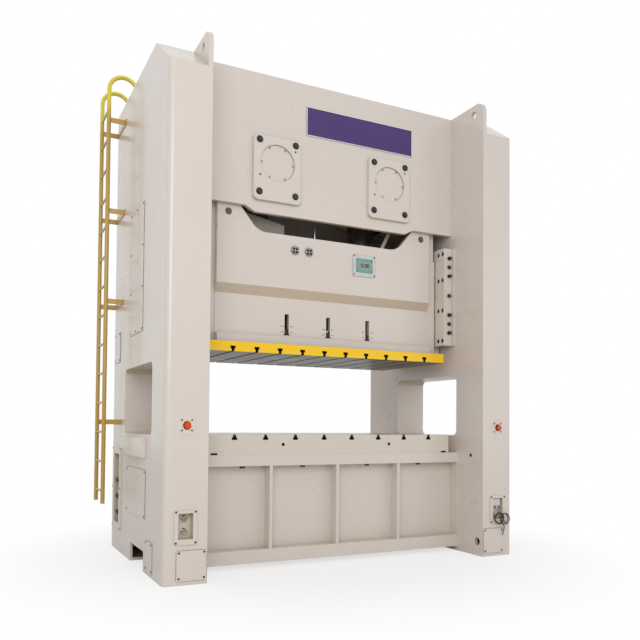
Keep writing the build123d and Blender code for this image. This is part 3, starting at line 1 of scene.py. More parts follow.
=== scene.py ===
# %% [markdown]
# # A stamping press, dressed
# The machine is a straight-side press: two welded uprights carry a crown full of gears, and a heavy
# slide runs up and down between them. The solids arrive ready measured. This lesson gives them their
# paint, their bare steel and the small things a fitter adds last: screws, welds, seals and plugs.

# %% Load the frame
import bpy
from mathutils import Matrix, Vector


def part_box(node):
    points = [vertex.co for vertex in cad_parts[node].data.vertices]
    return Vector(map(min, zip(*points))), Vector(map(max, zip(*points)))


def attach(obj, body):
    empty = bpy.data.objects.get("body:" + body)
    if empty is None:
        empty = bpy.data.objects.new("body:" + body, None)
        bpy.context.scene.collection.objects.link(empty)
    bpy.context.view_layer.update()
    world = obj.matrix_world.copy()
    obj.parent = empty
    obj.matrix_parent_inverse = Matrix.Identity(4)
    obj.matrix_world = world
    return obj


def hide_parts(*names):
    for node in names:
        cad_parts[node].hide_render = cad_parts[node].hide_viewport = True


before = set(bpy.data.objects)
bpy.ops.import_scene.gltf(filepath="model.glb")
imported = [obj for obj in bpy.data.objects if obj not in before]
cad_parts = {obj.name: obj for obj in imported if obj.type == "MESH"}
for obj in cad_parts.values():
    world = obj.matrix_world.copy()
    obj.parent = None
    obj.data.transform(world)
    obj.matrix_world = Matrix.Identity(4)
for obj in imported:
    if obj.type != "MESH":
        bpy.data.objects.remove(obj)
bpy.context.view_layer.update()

from math import cos, pi, radians, sin
import bmesh
import bpy
from mathutils import Matrix, Vector

# %% [markdown]
# ## The camera
# A product photographer stands at the front left corner, holds the camera almost level at chest
# height and shifts the lens up, so that the uprights stay upright. A camera that is tilted up instead
# would make the machine lean back. The shift is a share of the picture's width.

# %% Set the camera
standpoint = (-3.206, -6.708, 1.296)
pan, tilt, roll = radians(-26.56), radians(91.62), radians(0.48)
camera_data = bpy.data.cameras.new("camera")
camera_data.lens = 39.84
camera_data.sensor_width = 36.0
camera_data.shift_y = 0.133
camera = bpy.data.objects.new("camera", camera_data)
bpy.context.scene.collection.objects.link(camera)
aim = Matrix.Rotation(pan, 4, "Z") @ Matrix.Rotation(tilt, 4, "X") @ Matrix.Rotation(roll, 4, "Z")
camera.matrix_world = Matrix.Translation(standpoint) @ aim
bpy.context.scene.camera = camera
print("camera at", standpoint)

# %% [markdown]
# ## The spare cable
# A thin control cable drops out of a gland, is looped in two loose rings in front of its box, and
# its end hangs free. A cable is one smooth line, so it is one NURBS curve: its lead, its turns and
# its tail are the control points of the same line, and the bevel gives it its round section.

# %% Lay the cable
cable_thickness = 0.0096
points_per_turn = 14
lead = [(1.574, -1.064, 0.468), (1.574, -1.064, 0.440), (1.571, -1.086, 0.412),
        (1.563, -1.112, 0.398), (1.553, -1.126, 0.374)]
tail = [(1.650, -1.142, 0.316), (1.663, -1.138, 0.294), (1.664, -1.132, 0.264),
        (1.657, -1.127, 0.236), (1.650, -1.126, 0.208)]


def ring_points(centre, radii, shifts, first, last):
    """Points of loose turns: each turn has its own radius, and its centre lies a little apart."""
    count = round((last - first) / 360 * points_per_turn)
    made = []
    for step in range(count + 1):
        swept = (last - first) * step / count
        angle, turn = radians(first + swept), int(swept / 360)
        which = min(turn, len(radii) - 1)
        radius, shift = radii[which], shifts[which]
        layer = cable_thickness / 2 * (1 if turn % 2 else -1)
        made.append((centre[0] + shift[0] + radius * cos(angle), centre[1] + layer,
                     centre[2] + shift[1] + radius * sin(angle)))
    return made


left_turns = ring_points((1.604, -1.128, 0.378), (0.057, 0.050, 0.055),
                         ((0.0, 0.0), (0.006, -0.005), (0.002, 0.004)), 185, 990)
right_turns = ring_points((1.670, -1.140, 0.370), (0.055, 0.049),
                          ((0.0, 0.0), (-0.006, 0.004)), 280, 930)
route = lead + left_turns + right_turns + tail
cable_curve = bpy.data.curves.new("spare_cable", "CURVE")
cable_curve.dimensions = "3D"
line = cable_curve.splines.new("NURBS")
line.points.add(len(route) - 1)
for point, place in zip(line.points, route):
    point.co = (*place, 1.0)
    point.radius = cable_thickness / 2
line.order_u = 3
line.use_endpoint_u = True
line.resolution_u = 4
cable_curve.bevel_depth = 1.0
cable_curve.bevel_resolution = 3
cable_curve.use_fill_caps = True
spare_cable = bpy.data.objects.new("spare_cable", cable_curve)
bpy.context.scene.collection.objects.link(spare_cable)
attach(spare_cable, "frame")
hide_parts("cable", "cable_coil")

# %% [markdown]
# ## Small helpers
# Every operator in edit mode works on whatever is selected, so a step starts by letting go of
# everything. The other helper gives the box of each loose solid in a node, so that a screw can be
# set out from the solid it holds and not from a number that was typed in.

# %% Selection and measuring helpers
def let_go():
    """Nothing is selected and nothing is active."""
    for item in list(bpy.context.selected_objects):
        item.select_set(False)
    bpy.context.view_layer.objects.active = None


def loose_boxes(node):
    """The lowest and highest corner of each separate solid in a node."""
    work = bmesh.new()
    work.from_mesh(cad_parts[node].data)
    bmesh.ops.remove_doubles(work, verts=work.verts, dist=1e-5)
    waiting = set(work.verts)
    boxes = []
    while waiting:
        group = [waiting.pop()]
        for vertex in group:
            for edge in vertex.link_edges:
                other = edge.other_vert(vertex)
                if other in waiting:
                    waiting.remove(other)
                    group.append(other)
        low = Vector(min(vertex.co[axis] for vertex in group) for axis in range(3))
        high = Vector(max(vertex.co[axis] for vertex in group) for axis in range(3))
        boxes.append((low, high))
    work.free()
    return sorted(boxes, key=lambda pair: tuple(pair[0]))


print("covers on the uprights:", len(loose_boxes("side_panels")))

# %% [markdown]
# ## Shared effects
# Real paint is never one flat colour. Sprayed enamel has a faint skin like the peel of an orange,
# tones that drift over a metre, thin runs down the walls, dust near the floor and rubbed corners.
# The enamel also paints shade into its colour: brown in narrow crevices, khaki in hollows and on
# faces that look down. These effects go into node groups, so that every paint in the shop can use
# them. A group hands out only colours, values and normals, and the shader itself stays in the material.

# %% Helpers for node trees
def add(tree, kind, values=None, **settings):
    """A new node with its settings, and with values on its inputs."""
    node = tree.nodes.new("ShaderNode" + kind)
    for name, value in settings.items():
        setattr(node, name, value)
    for name, value in (values or {}).items():
        node.inputs[name].default_value = value
    return node


def wire(tree, source, target):
    """A socket takes a number, a colour or what another socket puts out."""
    if isinstance(source, (int, float)):
        target.default_value = source
    elif isinstance(source, tuple):
        target.default_value = (*source, 1.0)
    else:
        tree.links.new(source, target)


def math(tree, operation, *values):
    """A math node, whose inputs are sockets or numbers."""
    node = add(tree, "Math", operation=operation)
    for value, socket in zip(values, node.inputs):
        wire(tree, value, socket)
    return node.outputs[0]


def product(tree, first, *others):
    """All the values multiplied."""
    for other in others:
        first = math(tree, "MULTIPLY", first, other)
    return first


def blend(tree, factor, first, second, mode="MIX"):
    """A colour mix, whose inputs are sockets, numbers or colours."""
    node = add(tree, "Mix", data_type="RGBA", blend_type=mode)
    for index, value in ((0, factor), (6, first), (7, second)):
        wire(tree, value, node.inputs[index])
    return node.outputs[2]


def place_in(tree):
    """Where a point of the surface is, in the frame of the machine."""
    return add(tree, "TexCoord").outputs["Object"]


def noise(tree, vector, scale, detail=3.0, rough=0.55):
    """Cloudy noise, about one cloud to each step of the scale."""
    node = add(tree, "TexNoise", {"Scale": scale, "Detail": detail, "Roughness": rough})
    wire(tree, vector, node.inputs["Vector"])
    return node.outputs["Fac"]


def remap(tree, value, low, high, new_low, new_high):
    """A value from one range to another, kept within the new one."""
    node = add(tree, "MapRange", interpolation_type="SMOOTHSTEP")
    for socket, number in zip(node.inputs[1:5], (low, high, new_low, new_high)):
        socket.default_value = number
    wire(tree, value, node.inputs[0])
    return node.outputs[0]


def drifting(tree, vector, scale, detail, low, high):
    """A value that drifts between two others."""
    return remap(tree, noise(tree, vector, scale, detail), 0.3, 0.7, low, high)


def new_group(name, takes, gives):
    """An empty node group with its sockets."""
    tree = bpy.data.node_groups.new(name, "ShaderNodeTree")
    for label, kind, value in takes:
        socket = tree.interface.new_socket(label, in_out="INPUT", socket_type="NodeSocket" + kind)
        socket.default_value = value
    for label, kind in gives:
        tree.interface.new_socket(label, in_out="OUTPUT", socket_type="NodeSocket" + kind)
    return tree, tree.nodes.new("NodeGroupInput").outputs, tree.nodes.new("NodeGroupOutput").inputs


# %% Rounded and rubbed edges
tree, takes, gives = new_group(
    "rubbed edges", [("Radius", "Float", 0.004), ("Wear", "Float", 0.5)],
    [("Mask", "Float"), ("Normal", "Vector")])
edge_group = tree
soft = add(tree, "Bevel", samples=6)
wire(tree, takes["Radius"], soft.inputs["Radius"])
likeness = add(tree, "VectorMath", operation="DOT_PRODUCT")
wire(tree, soft.outputs[0], likeness.inputs[0])
wire(tree, add(tree, "NewGeometry").outputs["Normal"], likeness.inputs[1])
at_edge = remap(tree, math(tree, "SUBTRACT", 1.0, likeness.outputs["Value"]), 0.06, 0.3, 0.0, 1.0)
patches = remap(tree, noise(tree, place_in(tree), 9.0, 5.0, 0.7), 0.45, 0.62, 0.0, 1.0)
wire(tree, product(tree, at_edge, patches, takes["Wear"]), gives["Mask"])
wire(tree, soft.outputs[0], gives["Normal"])


def skin(tree, gives, radius, grain, distance, strength, wear=0.5):
    """A group's normal: rounded edges under a fine grain. It hands back where the edges are worn."""
    edges = add(tree, "Group", {"Radius": radius, "Wear": wear}, node_tree=edge_group)
    bump = add(tree, "Bump", {"Distance": distance})
    wire(tree, strength, bump.inputs["Strength"])
    wire(tree, grain, bump.inputs["Height"])
    wire(tree, edges.outputs["Normal"], bump.inputs["Normal"])
    wire(tree, bump.outputs[0], gives["Normal"])
    return edges.outputs["Mask"]


print("group:", edge_group.name)

# %% Sprayed enamel
surface = [("Color", "Color"), ("Roughness", "Float"), ("Normal", "Vector")]
# Colours of painted shade: khaki for hollows and for faces that look down, brown for crevices.
hollow_shade_khaki, crevice_shade_brown = (0.77, 0.69, 0.53), (0.30, 0.25, 0.20)
rubbed_primer, floor_dust = (0.46, 0.43, 0.40), (0.33, 0.28, 0.22)
tree, takes, gives = new_group(
    "sprayed enamel", [("Paint", "Color", (0.8, 0.8, 0.8, 1.0)), ("Peel", "Float", 0.06),
                       ("Dust", "Float", 1.0), ("Matt", "Float", 0.0)], surface)
enamel_group = tree
place = place_in(tree)
drift = drifting(tree, place, 0.7, 1.0, 0.988, 1.012)
cloud = drifting(tree, place, 5.0, 2.0, 0.995, 1.004)
stretched = add(tree, "Mapping", {"Scale": (22.0, 22.0, 0.9)})
wire(tree, place, stretched.inputs["Vector"])
runs = remap(tree, noise(tree, stretched.outputs[0], 1.0), 0.56, 0.8, 1.0, 0.985)
toned = blend(tree, 1.0, takes["Paint"], product(tree, drift, cloud, runs), "MULTIPLY")
height = add(tree, "SeparateXYZ")
wire(tree, place, height.inputs[0])
near_floor = remap(tree, height.outputs["Z"], 0.0, 0.55, 1.0, 0.0)
speckle = remap(tree, noise(tree, place, 30.0, 6.0, 0.7), 0.4, 0.75, 0.0, 1.0)
dusty = product(tree, near_floor, speckle, takes["Dust"], 0.10)
# Painted shade: a short occlusion test darkens narrow crevices to brown. A long one, kept within each
# node, tints hollows khaki, and faces that look down get the same khaki.
inner = add(tree, "AmbientOcclusion", {"Distance": 0.03}, samples=12)
crevice_shade = remap(tree, inner.outputs["AO"], 0.3, 0.8, 0.15, 0.0)
hollow = add(tree, "AmbientOcclusion", {"Distance": 0.70}, samples=8, only_local=True)
hollow_shade = remap(tree, hollow.outputs["AO"], 0.20, 0.72, 1.0, 0.0)
side = add(tree, "SeparateXYZ")
wire(tree, add(tree, "TexCoord").outputs["Normal"], side.inputs[0])
underside_shade = remap(tree, product(tree, side.outputs["Z"], -1.0), 0.08, 0.55, 0.0, 0.85)
khaki_shaded = blend(tree, 1.0, toned, hollow_shade_khaki, "MULTIPLY")
hollow_shaded = blend(tree, math(tree, "MAXIMUM", hollow_shade, underside_shade), toned, khaki_shaded)
crevice_shaded = blend(tree, crevice_shade, hollow_shaded, crevice_shade_brown)
worn = skin(tree, gives, 0.005, noise(tree, place, 150.0, 2.0), 0.0002, takes["Peel"], wear=0.06)
wire(tree, blend(tree, dusty, blend(tree, worn, crevice_shaded, rubbed_primer), floor_dust), gives["Color"])
gloss = drifting(tree, place, 3.0, 2.0, 0.27, 0.33)
dull = math(tree, "ADD", product(tree, dusty, 0.8), takes["Matt"])
wire(tree, math(tree, "ADD", gloss, dull), gives["Roughness"])
print("group:", enamel_group.name)

# %% Bare metal that was cut by a machine
oil_brown = (0.20, 0.17, 0.13)
tree, takes, gives = new_group(
    "machined metal", [("Metal", "Color", (0.6, 0.6, 0.6, 1.0)), ("Along", "Vector", (1.0, 1.0, 1.0)),
                       ("Oil", "Float", 0.5)], surface)
metal_group = tree
place = place_in(tree)
feed = add(tree, "VectorMath", operation="MULTIPLY")
wire(tree, place, feed.inputs[0])
wire(tree, takes["Along"], feed.inputs[1])
marks = noise(tree, feed.outputs[0], 1.0, 4.0, 0.6)
oily = product(tree, remap(tree, noise(tree, place, 3.0, 5.0, 0.65), 0.42, 0.68, 0.0, 1.0), takes["Oil"])
shade = blend(tree, 1.0, takes["Metal"], remap(tree, marks, 0.3, 0.7, 0.86, 1.1), "MULTIPLY")
wire(tree, blend(tree, oily, shade, oil_brown), gives["Color"])
rough = remap(tree, marks, 0.3, 0.7, 0.24, 0.42)
wire(tree, math(tree, "SUBTRACT", rough, product(tree, oily, 0.12)), gives["Roughness"])
skin(tree, gives, 0.0025, marks, 0.0004, 0.35)
print("group:", metal_group.name)

# %% [markdown]
# ## Finishes
# Each finish is one material that carries one of the groups. Paint is a plastic skin, so its
# metallic value is nought and a clear coat gives the shine. Steel is all metallic, and its colour
# is the colour of what it mirrors. The helper below joins a group to a Principled shader. The
# colour is always the first input of a group.

# %% A helper that makes a finish
def new_material(name):
    """An empty material, its tree and its Principled shader."""
    material = bpy.data.materials.new(name)
    material.use_nodes = True
    return material, material.node_tree, material.node_tree.nodes["Principled BSDF"]


def finish(name, group, colour, metallic=0.0, coat=0.0, shine=0.5, **values):
    """A material whose colour, roughness and normal come from a shared group."""
    material, tree, shader = new_material(name)
    source = add(tree, "Group", values, node_tree=group)
    wire(tree, colour, source.inputs[0])
    for given, taken in (("Color", "Base Color"), ("Roughness", "Roughness"), ("Normal", "Normal")):
        wire(tree, source.outputs[given], shader.inputs[taken])
    for label, value in (("Metallic", metallic), ("Coat Weight", coat), ("Coat Roughness", 0.12),
                         ("Specular IOR Level", shine)):
        shader.inputs[label].default_value = value
    return material


def tint(material, mask, outside, inside):
    """The colour of a finish changes where a mask, made in its own tree, says so."""
    tree = material.node_tree
    source = next(node for node in tree.nodes if node.type == "GROUP")
    wire(tree, blend(tree, mask, outside, inside), source.inputs[0])


def spot_of(material):
    """The three coordinates of the surface, in the frame of the machine."""
    tree = material.node_tree
    axes = add(tree, "SeparateXYZ")
    wire(tree, place_in(tree), axes.inputs[0])
    return tree, axes.outputs


def dress(material, *nodes):
    """Give a finish to nodes of the frame."""
    for node in nodes:
        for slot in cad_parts[node].material_slots:
            slot.material = material


# %% Paints
amber_paint = (0.97, 0.60, 0.004)
ladder_gold, painted_light_yellow = (0.52, 0.33, 0.065), (0.80, 0.66, 0.05)
warm_grey = finish("warm grey enamel", enamel_group, (0.700, 0.628, 0.568), coat=0.35)
purple = finish("purple sign enamel", enamel_group, (0.058, 0.028, 0.150), Dust=0.0, Matt=0.3)
white = finish("white enamel", enamel_group, (0.86, 0.85, 0.83), coat=0.1, Dust=0.0)
motor_grey = finish("motor enamel", enamel_group, (0.42, 0.40, 0.37), coat=0.15, Dust=0.0)
# Grey primer darkened as painted shade, for the stiffener inside the gap.
shade_darkened_primer = finish("grey primer", enamel_group, (0.27, 0.25, 0.21), Dust=0.0)
golden = finish("golden ladder enamel", enamel_group, ladder_gold, coat=0.2, Dust=0.2)
# Painted light: above the top bracket the gold turns lemon yellow, for the brighter light and reflections
# there. The paint itself is the same gold.
tree, axis = spot_of(golden)
tint(golden, remap(tree, axis["Z"], 4.35, 4.65, 0.0, 1.0), ladder_gold, painted_light_yellow)
dress(warm_grey, "left_upright", "right_upright", "crown", "bed", "bearing_covers", "bearing_caps",
      "side_panels", "bed_ribs", "access_door", "hood", "left_socket_box", "right_socket_box",
      "connector_box", "slide_body", "front_gibs", "rear_gibs", "motor_base", "belt_guard",
      "balance_cylinders")
dress(purple, "sign_plate")
dress(golden, "ladder_stiles", "ladder_rungs", "ladder_brackets")
dress(motor_grey, "motor")
print("paints:", [paint.name for paint in (warm_grey, purple, white, motor_grey, shade_darkened_primer, golden)])

# %% Metals
def metal(name, colour, along, metallic=1.0, **values):
    """A metal whose cutting marks are drawn out along the axes with small numbers."""
    return finish(name, metal_group, colour, metallic=metallic, Along=along, **values)


bolt_black, cap_grey = (0.035, 0.033, 0.035), (0.33, 0.29, 0.26)
steel = metal("ground steel", (0.56, 0.55, 0.53), (4.0, 160.0, 160.0))
turned_steel = metal("turned steel", (0.52, 0.51, 0.50), (40.0, 220.0, 40.0))
iron = metal("cast iron", (0.20, 0.20, 0.21), (60.0, 60.0, 60.0), metallic=0.8, Oil=0.8)
bronze = metal("bearing bronze", (0.62, 0.42, 0.18), (60.0, 8.0, 60.0), Oil=0.3)
oiled_bronze = metal("oiled bronze", (0.34, 0.27, 0.18), (60.0, 60.0, 8.0), metallic=0.9, Oil=0.9)
black_steel = metal("black oxide steel", bolt_black, (300.0, 300.0, 300.0), metallic=0.7, Oil=0.2)
blued_steel = metal("blued steel", (0.035, 0.030, 0.027), (80.0, 80.0, 4.0), metallic=0.2, shine=0.25,
                    Oil=0.0)
dress(steel, "adjusting_screws", "balance_pistons")
dress(turned_steel, "slide_fittings", "adjusting_gears", "left_crank", "right_crank", "crank_pins",
      "pinion_shaft", "left_gear", "right_gear")
dress(iron, "left_rod", "right_rod", "flywheel", "motor_pulley", "clutch")
dress(bronze, "bearing_bushes")
dress(oiled_bronze, "slide_liners")
dress(black_steel, "bolster_bolts", "gib_screws")
dress(blued_steel, "left_knockout_bar", "middle_knockout_bar", "right_knockout_bar")
print("metals:", [item.name for item in (steel, turned_steel, iron, bronze, oiled_bronze)])

# %% [markdown]
# ## Two finishes in one node
# One node holds the big black bolts of the covers and the small grey screws of their caps. A mask
# that is true inside a square round each cap's middle tells them apart.

# %% Fasteners on the bearing covers
cover_steel = metal("cover fasteners", bolt_black, (300.0, 300.0, 300.0), metallic=0.4, Oil=0.1)
low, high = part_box("bearing_caps")
cap_reach, cap_z = (high[2] - low[2]) / 2, (high[2] + low[2]) / 2
cap_x = (high[0] - low[0]) / 2 - cap_reach
tree, axis = spot_of(cover_steel)
off_x = math(tree, "ABSOLUTE", math(tree, "SUBTRACT", math(tree, "ABSOLUTE", axis["X"]), cap_x))
off_z = math(tree, "ABSOLUTE", math(tree, "SUBTRACT", axis["Z"], cap_z))
on_cap = math(tree, "LESS_THAN", math(tree, "MAXIMUM", off_x, off_z), cap_reach)
tint(cover_steel, on_cap, bolt_black, cap_grey)
dress(cover_steel, "cover_bolts")
print("caps reach", round(cap_reach, 3), "m from their middles")

# %% Plastics and rubber
tree, takes, gives = new_group(
    "moulded plastic", [("Plastic", "Color", (0.5, 0.5, 0.5, 1.0)), ("Grain", "Float", 0.1)], surface)
plastic_group = tree
place = place_in(tree)
faded = drifting(tree, place, 18.0, 4.0, 0.92, 1.05)
wire(tree, blend(tree, 1.0, takes["Plastic"], faded, "MULTIPLY"), gives["Color"])
wire(tree, drifting(tree, place, 45.0, 3.0, 0.34, 0.5), gives["Roughness"])
skin(tree, gives, 0.0015, noise(tree, place, 900.0, 2.0), 0.0003, takes["Grain"])


def plastic(name, colour, **values):
    """A plastic or a rubber."""
    return finish(name, plastic_group, colour, **values)


black_plastic = plastic("black plastic", (0.022, 0.020, 0.018), shine=0.2, Grain=0.3)
pale_plastic = plastic("pale plastic", (0.62, 0.62, 0.60), Grain=0.2)
pearl_plastic = plastic("pearl plate", (0.70, 0.66, 0.66), coat=0.2)
ash_plastic = plastic("ash plug", (0.125, 0.105, 0.085), shine=0.3, Grain=0.3)
red_plastic = plastic("red plastic", (0.66, 0.025, 0.02), coat=0.4)
yellow_plastic = plastic("yellow plastic", (0.88, 0.68, 0.20), coat=0.2)
# Dark rubber of the sight seals. The same colour makes the painted shadow strips round the covers.
seal_and_shadow_rubber = plastic("seal rubber and painted shadow", (0.16, 0.135, 0.11), shine=0.2, Grain=0.4)
rubber = plastic("belt rubber", (0.025, 0.024, 0.023), Grain=0.8)
sheath = plastic("cable sheath", (0.035, 0.033, 0.036), Grain=0.4)
display_glass = plastic("display window", (0.05, 0.30, 0.30), coat=0.8, Grain=0.0)
teal_plastic = plastic("teal surround", (0.16, 0.36, 0.33), coat=0.4)
window_grey = plastic("liquid crystal window", (0.30, 0.38, 0.30), coat=0.5)
dress(black_plastic, "stop_switches")
dress(pale_plastic, "connector_block", "display_frame")
dress(pearl_plastic, "stop_plates")
dress(red_plastic, "left_stop_button", "right_stop_button")
dress(rubber, "drive_belts")
dress(display_glass, "display_screen")
cable_curve.materials.append(sheath)
print("plastics:", [item.name for item in (black_plastic, pale_plastic, red_plastic, rubber)])

# %% [markdown]
# ## Plates that are painted outside and bare where they work
# The bolster and the slide's plate are planed on the faces that carry tools, and their rims are
# painted. One material can hold both finishes: a mask that is read from the place and the direction
# of the surface says where the brush stopped. Down in the T slots the colour goes dark, as painted shade.

# %% Half painted plates
# Painted shade: the dark colour down in the T slots stands for the shade there.
slot_shade_colour = (0.030, 0.026, 0.022)
rim_skin, slot_depths = 0.001, (0.012, 0.002)


def half_painted(name, paint, metal_colour, low, high, working_side):
    """Paint on the rim of a plate, planed metal elsewhere, and painted shade down in its slots."""
    material, tree, shader = new_material(name)
    axis = spot_of(material)[1]
    along = math(tree, "GREATER_THAN", math(tree, "ABSOLUTE", axis["Y"]), high[1] - rim_skin)
    across = math(tree, "GREATER_THAN", math(tree, "ABSOLUTE", axis["X"]), high[0] - rim_skin)
    side = add(tree, "SeparateXYZ")
    wire(tree, add(tree, "TexCoord").outputs["Normal"], side.inputs[0])
    upright = math(tree, "LESS_THAN", math(tree, "ABSOLUTE", side.outputs["Z"]), 0.5)
    rim = product(tree, math(tree, "MAXIMUM", along, across), upright)
    painted = add(tree, "Group", {"Dust": 0.0}, node_tree=enamel_group)
    wire(tree, paint, painted.inputs["Paint"])
    planed = add(tree, "Group", {"Along": (3.0, 120.0, 120.0), "Oil": 0.25},
                 node_tree=metal_group)
    wire(tree, metal_colour, planed.inputs["Metal"])
    face = high[2] if working_side > 0 else -low[2]
    # Painted shade: below the working face, the colour darkens down into the slots.
    depth = remap(tree, product(tree, axis["Z"], working_side), face - slot_depths[0],
                  face - slot_depths[1], 1.0, 0.0)
    in_slot_shade = product(tree, depth, math(tree, "SUBTRACT", 1.0, rim))
    bare = blend(tree, in_slot_shade, planed.outputs["Color"], slot_shade_colour)
    wire(tree, blend(tree, rim, bare, painted.outputs["Color"]), shader.inputs["Base Color"])
    for kind, first, given, result in (("FLOAT", 2, "Roughness", 0), ("VECTOR", 4, "Normal", 1)):
        mix = add(tree, "Mix", data_type=kind)
        wire(tree, rim, mix.inputs[0])
        wire(tree, planed.outputs[given], mix.inputs[first])
        wire(tree, painted.outputs[given], mix.inputs[first + 1])
        wire(tree, mix.outputs[result], shader.inputs[given])
    shine = math(tree, "SUBTRACT", 1.0, math(tree, "MAXIMUM", rim, in_slot_shade))
    wire(tree, shine, shader.inputs["Metallic"])
    return material


bolster_finish = half_painted("planed bolster", (0.685, 0.610, 0.535), (0.46, 0.45, 0.44),
                              *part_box("bolster"), 1.0)
# Painted shade: the planed underside of the slide plate gets a dark brown in place of bright steel, for
# the shade under the plate.
plate_finish = half_painted("planed slide plate", amber_paint, (0.115, 0.095, 0.072),
                            *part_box("slide_plate"), -1.0)
dress(bolster_finish, "bolster")
dress(plate_finish, "slide_plate")
print("half painted:", bolster_finish.name, plate_finish.name)

# %% [markdown]
# ## Making small pieces by hand
# A small piece starts as a primitive and is shaped in edit mode. To work on some of its faces they
# must be picked first, and in a script that is done by asking each face where it is and which way it
# looks. A finished piece rides on a body of the machine and gets its name and finish.

# %% Helpers for edit mode
def begin(add_primitive, **settings):
    """A new primitive, alone in the selection and open in edit mode."""
    let_go()
    add_primitive(**settings)
    piece = bpy.context.active_object
    bpy.ops.object.mode_set(mode="EDIT")
    return piece


def pick(piece, wanted, kind="FACE"):
    """Only the faces, or the edges, that are wanted stay selected."""
    bpy.ops.mesh.select_mode(type=kind)
    bpy.ops.mesh.select_all(action="DESELECT")
    work = bmesh.from_edit_mesh(piece.data)
    work.normal_update()
    for item in (work.faces if kind == "FACE" else work.edges):
        if wanted(item):
            item.select_set(True)
    bmesh.update_edit_mesh(piece.data)


def push(x=0.0, y=0.0, z=0.0):
    """The picked faces are drawn out, or in, by a step."""
    bpy.ops.mesh.extrude_region_move(TRANSFORM_OT_translate={"value": (x, y, z)})


def close(piece, angle=35.0):
    """Out of edit mode, with smooth rounds and crisp edges."""
    bpy.ops.object.mode_set(mode="OBJECT")
    bpy.ops.object.select_all(action="DESELECT")
    piece.select_set(True)
    bpy.context.view_layer.objects.active = piece
    bpy.ops.object.shade_smooth_by_angle(angle=radians(angle))
    return piece


def soften(piece, width, segments=2, angle=35.0):
    """A bevel on every sharp edge, applied."""
    let_go()
    piece.select_set(True)
    bpy.context.view_layer.objects.active = piece
    bevel = piece.modifiers.new("rounded", "BEVEL")
    bevel.width = width
    bevel.segments = segments
    bevel.limit_method = "ANGLE"
    bevel.angle_limit = radians(angle)
    bpy.ops.object.modifier_apply(modifier=bevel.name)
    bpy.ops.object.shade_smooth_by_angle(angle=radians(angle))
    return piece


# %% Helpers that start a piece
def slab(low, high, round_axis=None, radius=0.0, segments=4):
    """A block between two corners, with its four edges along one axis rounded."""
    middle = [(a + b) / 2 for a, b in zip(low, high)]
    size = [b - a for a, b in zip(low, high)]
    block = begin(bpy.ops.mesh.primitive_cube_add, size=1.0)
    bpy.ops.transform.resize(value=size)
    bpy.ops.transform.translate(value=middle)
    if round_axis is not None:
        shortest = size[round_axis] * 0.9
        pick(block, lambda edge: abs((edge.verts[0].co - edge.verts[1].co)[round_axis]) > shortest,
             "EDGE")
        bpy.ops.mesh.bevel(offset=radius, segments=segments)
    return close(block)


def disc(sides, radius, height, base=(0.0, 0.0, 0.0)):
    """A cylinder that stands on a spot, open in edit mode with its top picked."""
    piece = begin(bpy.ops.mesh.primitive_cylinder_add, vertices=sides, radius=radius, depth=height,
                  location=(base[0], base[1], base[2] + height / 2))
    pick(piece, lambda face: face.normal.z > 0.9)
    return piece


def lathe(sides, radius, height, *steps, base=(0.0, 0.0, 0.0)):
    """A disc whose top is inset and drawn up, or pushed down, in one step after another."""
    piece = disc(sides, radius, height, base)
    for inwards, rise in steps:
        bpy.ops.mesh.inset(thickness=inwards)
        push(z=rise)
    return close(piece)


def washer(outer, inner, height):
    """A flat ring, whose hole is a shallow pit."""
    return lathe(28, outer, height, (outer - inner, -height * 0.6))


# %% Helpers that set pieces out
facing = {"front": Matrix.Rotation(radians(90), 4, "X"), "back": Matrix.Rotation(radians(-90), 4, "X"),
          "left": Matrix.Rotation(radians(-90), 4, "Y"), "right": Matrix.Rotation(radians(90), 4, "Y"),
          "up": Matrix.Identity(4)}


def settle(piece, name, body, material):
    """A name, a body to ride on and a finish."""
    piece.name = name
    piece.data.name = name
    piece.data.materials.clear()
    piece.data.materials.append(material)
    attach(piece, body)
    return piece


def join(pieces):
    """Several pieces become one mesh, in the first of them."""
    let_go()
    for piece in pieces:
        piece.select_set(True)
    bpy.context.view_layer.objects.active = pieces[0]
    if len(pieces) > 1:
        bpy.ops.object.join()
    return bpy.context.active_object


def copies(master, placings):
    """Copies of a piece, each with its own mesh moved to its place, then joined."""
    made = []
    for placing in placings:
        copy = master.copy()
        copy.data = master.data.copy()
        copy.data.transform(placing)
        bpy.context.scene.collection.objects.link(copy)
        made.append(copy)
    return join(made[::-1])


def set_out(master, spots, name, body, material):
    """Copies of a piece that looks up, each turned to its side and moved to its spot."""
    piece = copies(master, [Matrix.Translation(spot) @ facing[side] for side, spot in spots])
    return settle(piece, name, body, material)


def fasten(master, spots, name, body="frame"):
    """Dark steel fasteners."""
    return set_out(master, spots, name, body, black_steel)


def put_away(*masters):
    """The patterns that copies were taken from leave the scene."""
    for master in masters:
        bpy.data.objects.remove(master, do_unlink=True)


def middle_spot(low, high, y=None):
    """The middle of a box, on its front or at a given depth."""
    return "front", ((low[0] + high[0]) / 2, low[1] if y is None else y, (low[2] + high[2]) / 2)


def square_of(spots, offset, in_slot_shade=0.0):
    """Four spots round each of some others, and a little behind or before them."""
    return [(side, (x + dx, y - in_slot_shade, z + dz)) for side, (x, y, z) in spots
            for dz in (offset, -offset) for dx in (offset, -offset)]


def ring_of(side, centre, radius, angles):
    """Spots on an upright circle."""
    return [(side, (centre[0] + radius * cos(angle), centre[1], centre[2] + radius * sin(angle)))
            for angle in angles]


print("ways to face:", sorted(facing))

# %% [markdown]
# ## Screws on covers and panels
# Every cover on the uprights is held by small button screws. One screw is turned by hand: a short
# cylinder, its top inset and pushed down for the key, and its rim rounded. Its copies are set out
# from the corners of the plates they hold, so that they stay at the same margin everywhere.

# %% One button screw and its copies
panel_margin, box_margin, tall_panel, thin_plate = 0.020, 0.014, 0.6, 0.02


